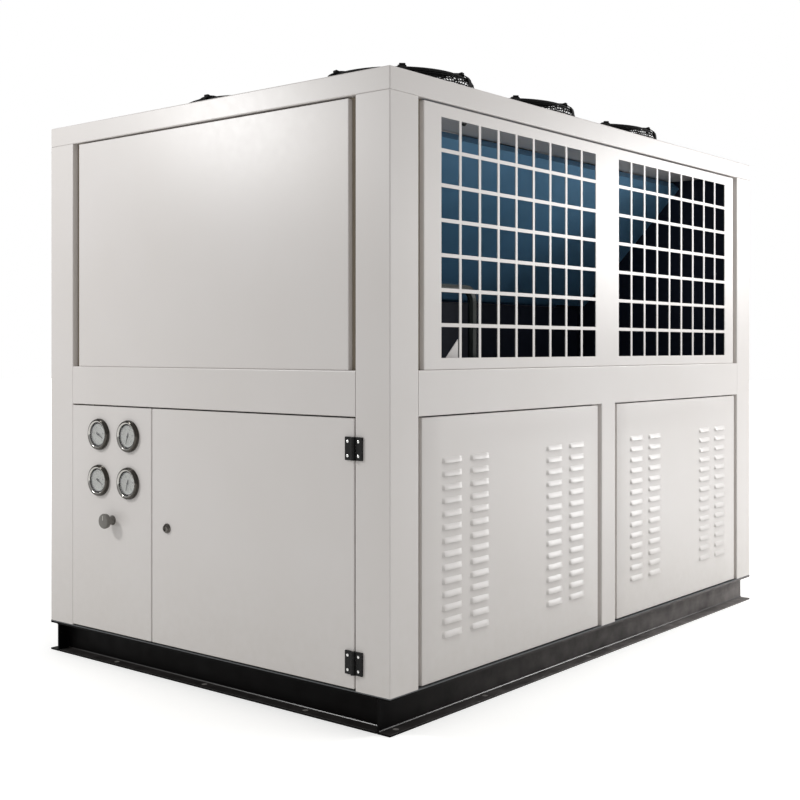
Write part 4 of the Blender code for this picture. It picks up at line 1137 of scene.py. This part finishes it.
def anchor_hole():
    """A punched hole seen from above: a light ring of painted glint round a dark disc of painted shade."""
    bm = bmesh.new()
    # A light ring on the rim, a painted glint, round a flat dark disc, painted shade of the hole's mouth.
    stamp(bm, turned([(ANCHOR_RADIUS, 0.2 * MM), (ANCHOR_RADIUS + 0.6 * MM, 0.5 * MM),
                      (ANCHOR_RADIUS + 1.6 * MM, 0.1 * MM)], 24))
    stamp(bm, turned([(0, 0.15 * MM), (ANCHOR_RADIUS, 0.2 * MM)], 24), material=1)
    return as_mesh("anchor_hole", bm)


FLANGE_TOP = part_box("base_beam_right")[0].z + 7 * MM
LIP_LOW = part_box("roof_frame")[0].z
HOLE = anchor_hole()
bm = bmesh.new()
for x, y in ANCHOR_SPOTS:
    for side in (1, -1):
        stamp(bm, HOLE, Matrix.Translation((x, side * y, FLANGE_TOP)))
for y in END_ANCHORS:
    for side in (1, -1):
        stamp(bm, HOLE, Matrix.Translation((side * (END_X + 28 * MM), y, FLANGE_TOP)))
add_piece("anchor_holes", bm, [HOLE_RIM_PAINTED_GLINT, RUBBER_AND_HOLE_SHADE])

bm = bmesh.new()
GROMMET = turned(mm([(0, -9), (5, -9), (8, -6), (11, -2), (11, 0)]), 24)
for x, y in ((-0.762, -0.744), (1.242, -0.722)):
    stamp(bm, GROMMET, Matrix.Translation((x, y, LIP_LOW)))
add_piece("grommets", bm, [RUBBER_AND_HOLE_SHADE], smooth=40)
print("small fittings added")

# %% The pale bracket
def bracket():
    """A flat triangular sheet gusset that looks along -Y, with its slope rising to the right."""
    bm = bmesh.new()
    bmesh.ops.create_grid(bm, x_segments=1, y_segments=1, size=0.5)
    bmesh.ops.transform(bm, matrix=Matrix.Rotation(math.pi / 2, 4, "X"), verts=bm.verts)
    bmesh.ops.scale(bm, vec=(BRACKET_SIZE[0], 1, BRACKET_SIZE[1]), verts=bm.verts)
    corner = [vert for vert in bm.verts if vert.co.x < 0 < vert.co.z]
    bmesh.ops.dissolve_verts(bm, verts=corner)
    bm.normal_update()
    bmesh.ops.solidify(bm, geom=bm.faces, thickness=2 * MM)
    return bm


BRACKET_SIZE = (0.118, 0.11)
TRAY_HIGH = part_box("coil_end_plate_front")[0].z
bm = bracket()
spot = (END_X + 0.356, SIDE_Y + 0.034, TRAY_HIGH + BRACKET_SIZE[1] / 2)
bmesh.ops.translate(bm, vec=spot, verts=bm.verts)
add_piece("pale_bracket", bm, [PAINTED])
print("bracket added")

# %% [markdown]
# ## Floor, backdrop and light
#
# A product picture stands on a plain pale floor that runs out to white. The floor is a matt white
# with a little white of its own for the camera, so that it meets the white world without a line
# and still keeps the object's shadow. One lamp at the upper left makes the glow on the door end,
# one at the right lights the far half of the long side, a low one lifts its base, and one high in
# front lights the tops of the louvres. The world fills the rest.

# %% Floor
FLOOR_GLOW = 0.42


def studio_floor():
    """A wide matt floor that fades to white for the camera and for reflections."""
    material, tree, shader, where = new_finish("studio floor", "#f0f0ee", 0.9)
    path = add_node(tree, "ShaderNodeLightPath")
    seen = combine(tree, path.outputs["Is Camera Ray"], path.outputs["Is Glossy Ray"], "MAXIMUM")
    away = add_node(tree, "ShaderNodeVectorMath", {0: where}, operation="LENGTH")
    white = spread(tree, away.outputs["Value"], 1.5, 6.0, FLOOR_GLOW, 1.0)
    shader.inputs["Emission Color"].default_value = (1, 1, 1, 1)
    dress(tree, shader, Emission_Strength=combine(tree, seen, white))
    bm = bmesh.new()
    bmesh.ops.create_grid(bm, x_segments=1, y_segments=1, size=40)
    mesh = as_mesh("studio_floor", bm)
    mesh.materials.append(material)
    made = bpy.data.objects.new("studio_floor", mesh)
    bpy.context.scene.collection.objects.link(made)
    made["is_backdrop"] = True
    return made


print("floor", studio_floor().name)

# %% World and lamps
WORLD_FILL = 0.5


def studio_world():
    """White to the camera and through glass, a softer white as light."""
    world = bpy.data.worlds.new("studio")
    world.use_nodes = True
    tree = world.node_tree
    path = add_node(tree, "ShaderNodeLightPath")
    seen = combine(tree, path.outputs["Is Camera Ray"], path.outputs["Is Transmission Ray"], "MAXIMUM")
    back = tree.nodes["Background"]
    back.inputs["Color"].default_value = (1, 1, 1, 1)
    dress(tree, back, Strength=spread(tree, seen, 0.0, 1.0, WORLD_FILL, 1.0))
    bpy.context.scene.world = world


def add_lamp(name, place, aim, size, power):
    """A square soft lamp that looks at a point."""
    data = bpy.data.lights.new(name, "AREA")
    data.size = size
    data.energy = power
    made = bpy.data.objects.new(name, data)
    made.location = place
    made.rotation_euler = (Vector(aim) - Vector(place)).to_track_quat("-Z", "Y").to_euler()
    bpy.context.scene.collection.objects.link(made)
    return made


studio_world()
add_lamp("end lamp", (-3.6, 2.1, 2.7), (-1.4, 0.2, 1.6), 0.4, 44)
add_lamp("side lamp", (3.7, -2.9, 2.2), (0.8, -0.9, 1.4), 1.2, 67)
add_lamp("low lamp", (3.6, -3.2, 0.35), (0.3, -0.8, 1.9), 1.0, 13)
add_lamp("overhead lamp", (0.8, -3.0, 6.0), (0.3, -1.2, 0.0), 2.5, 66)
bpy.context.scene.view_settings.view_transform = "Standard"
print("light set")

# %% Print the visual box
low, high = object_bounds()
print("visual box", low, high)
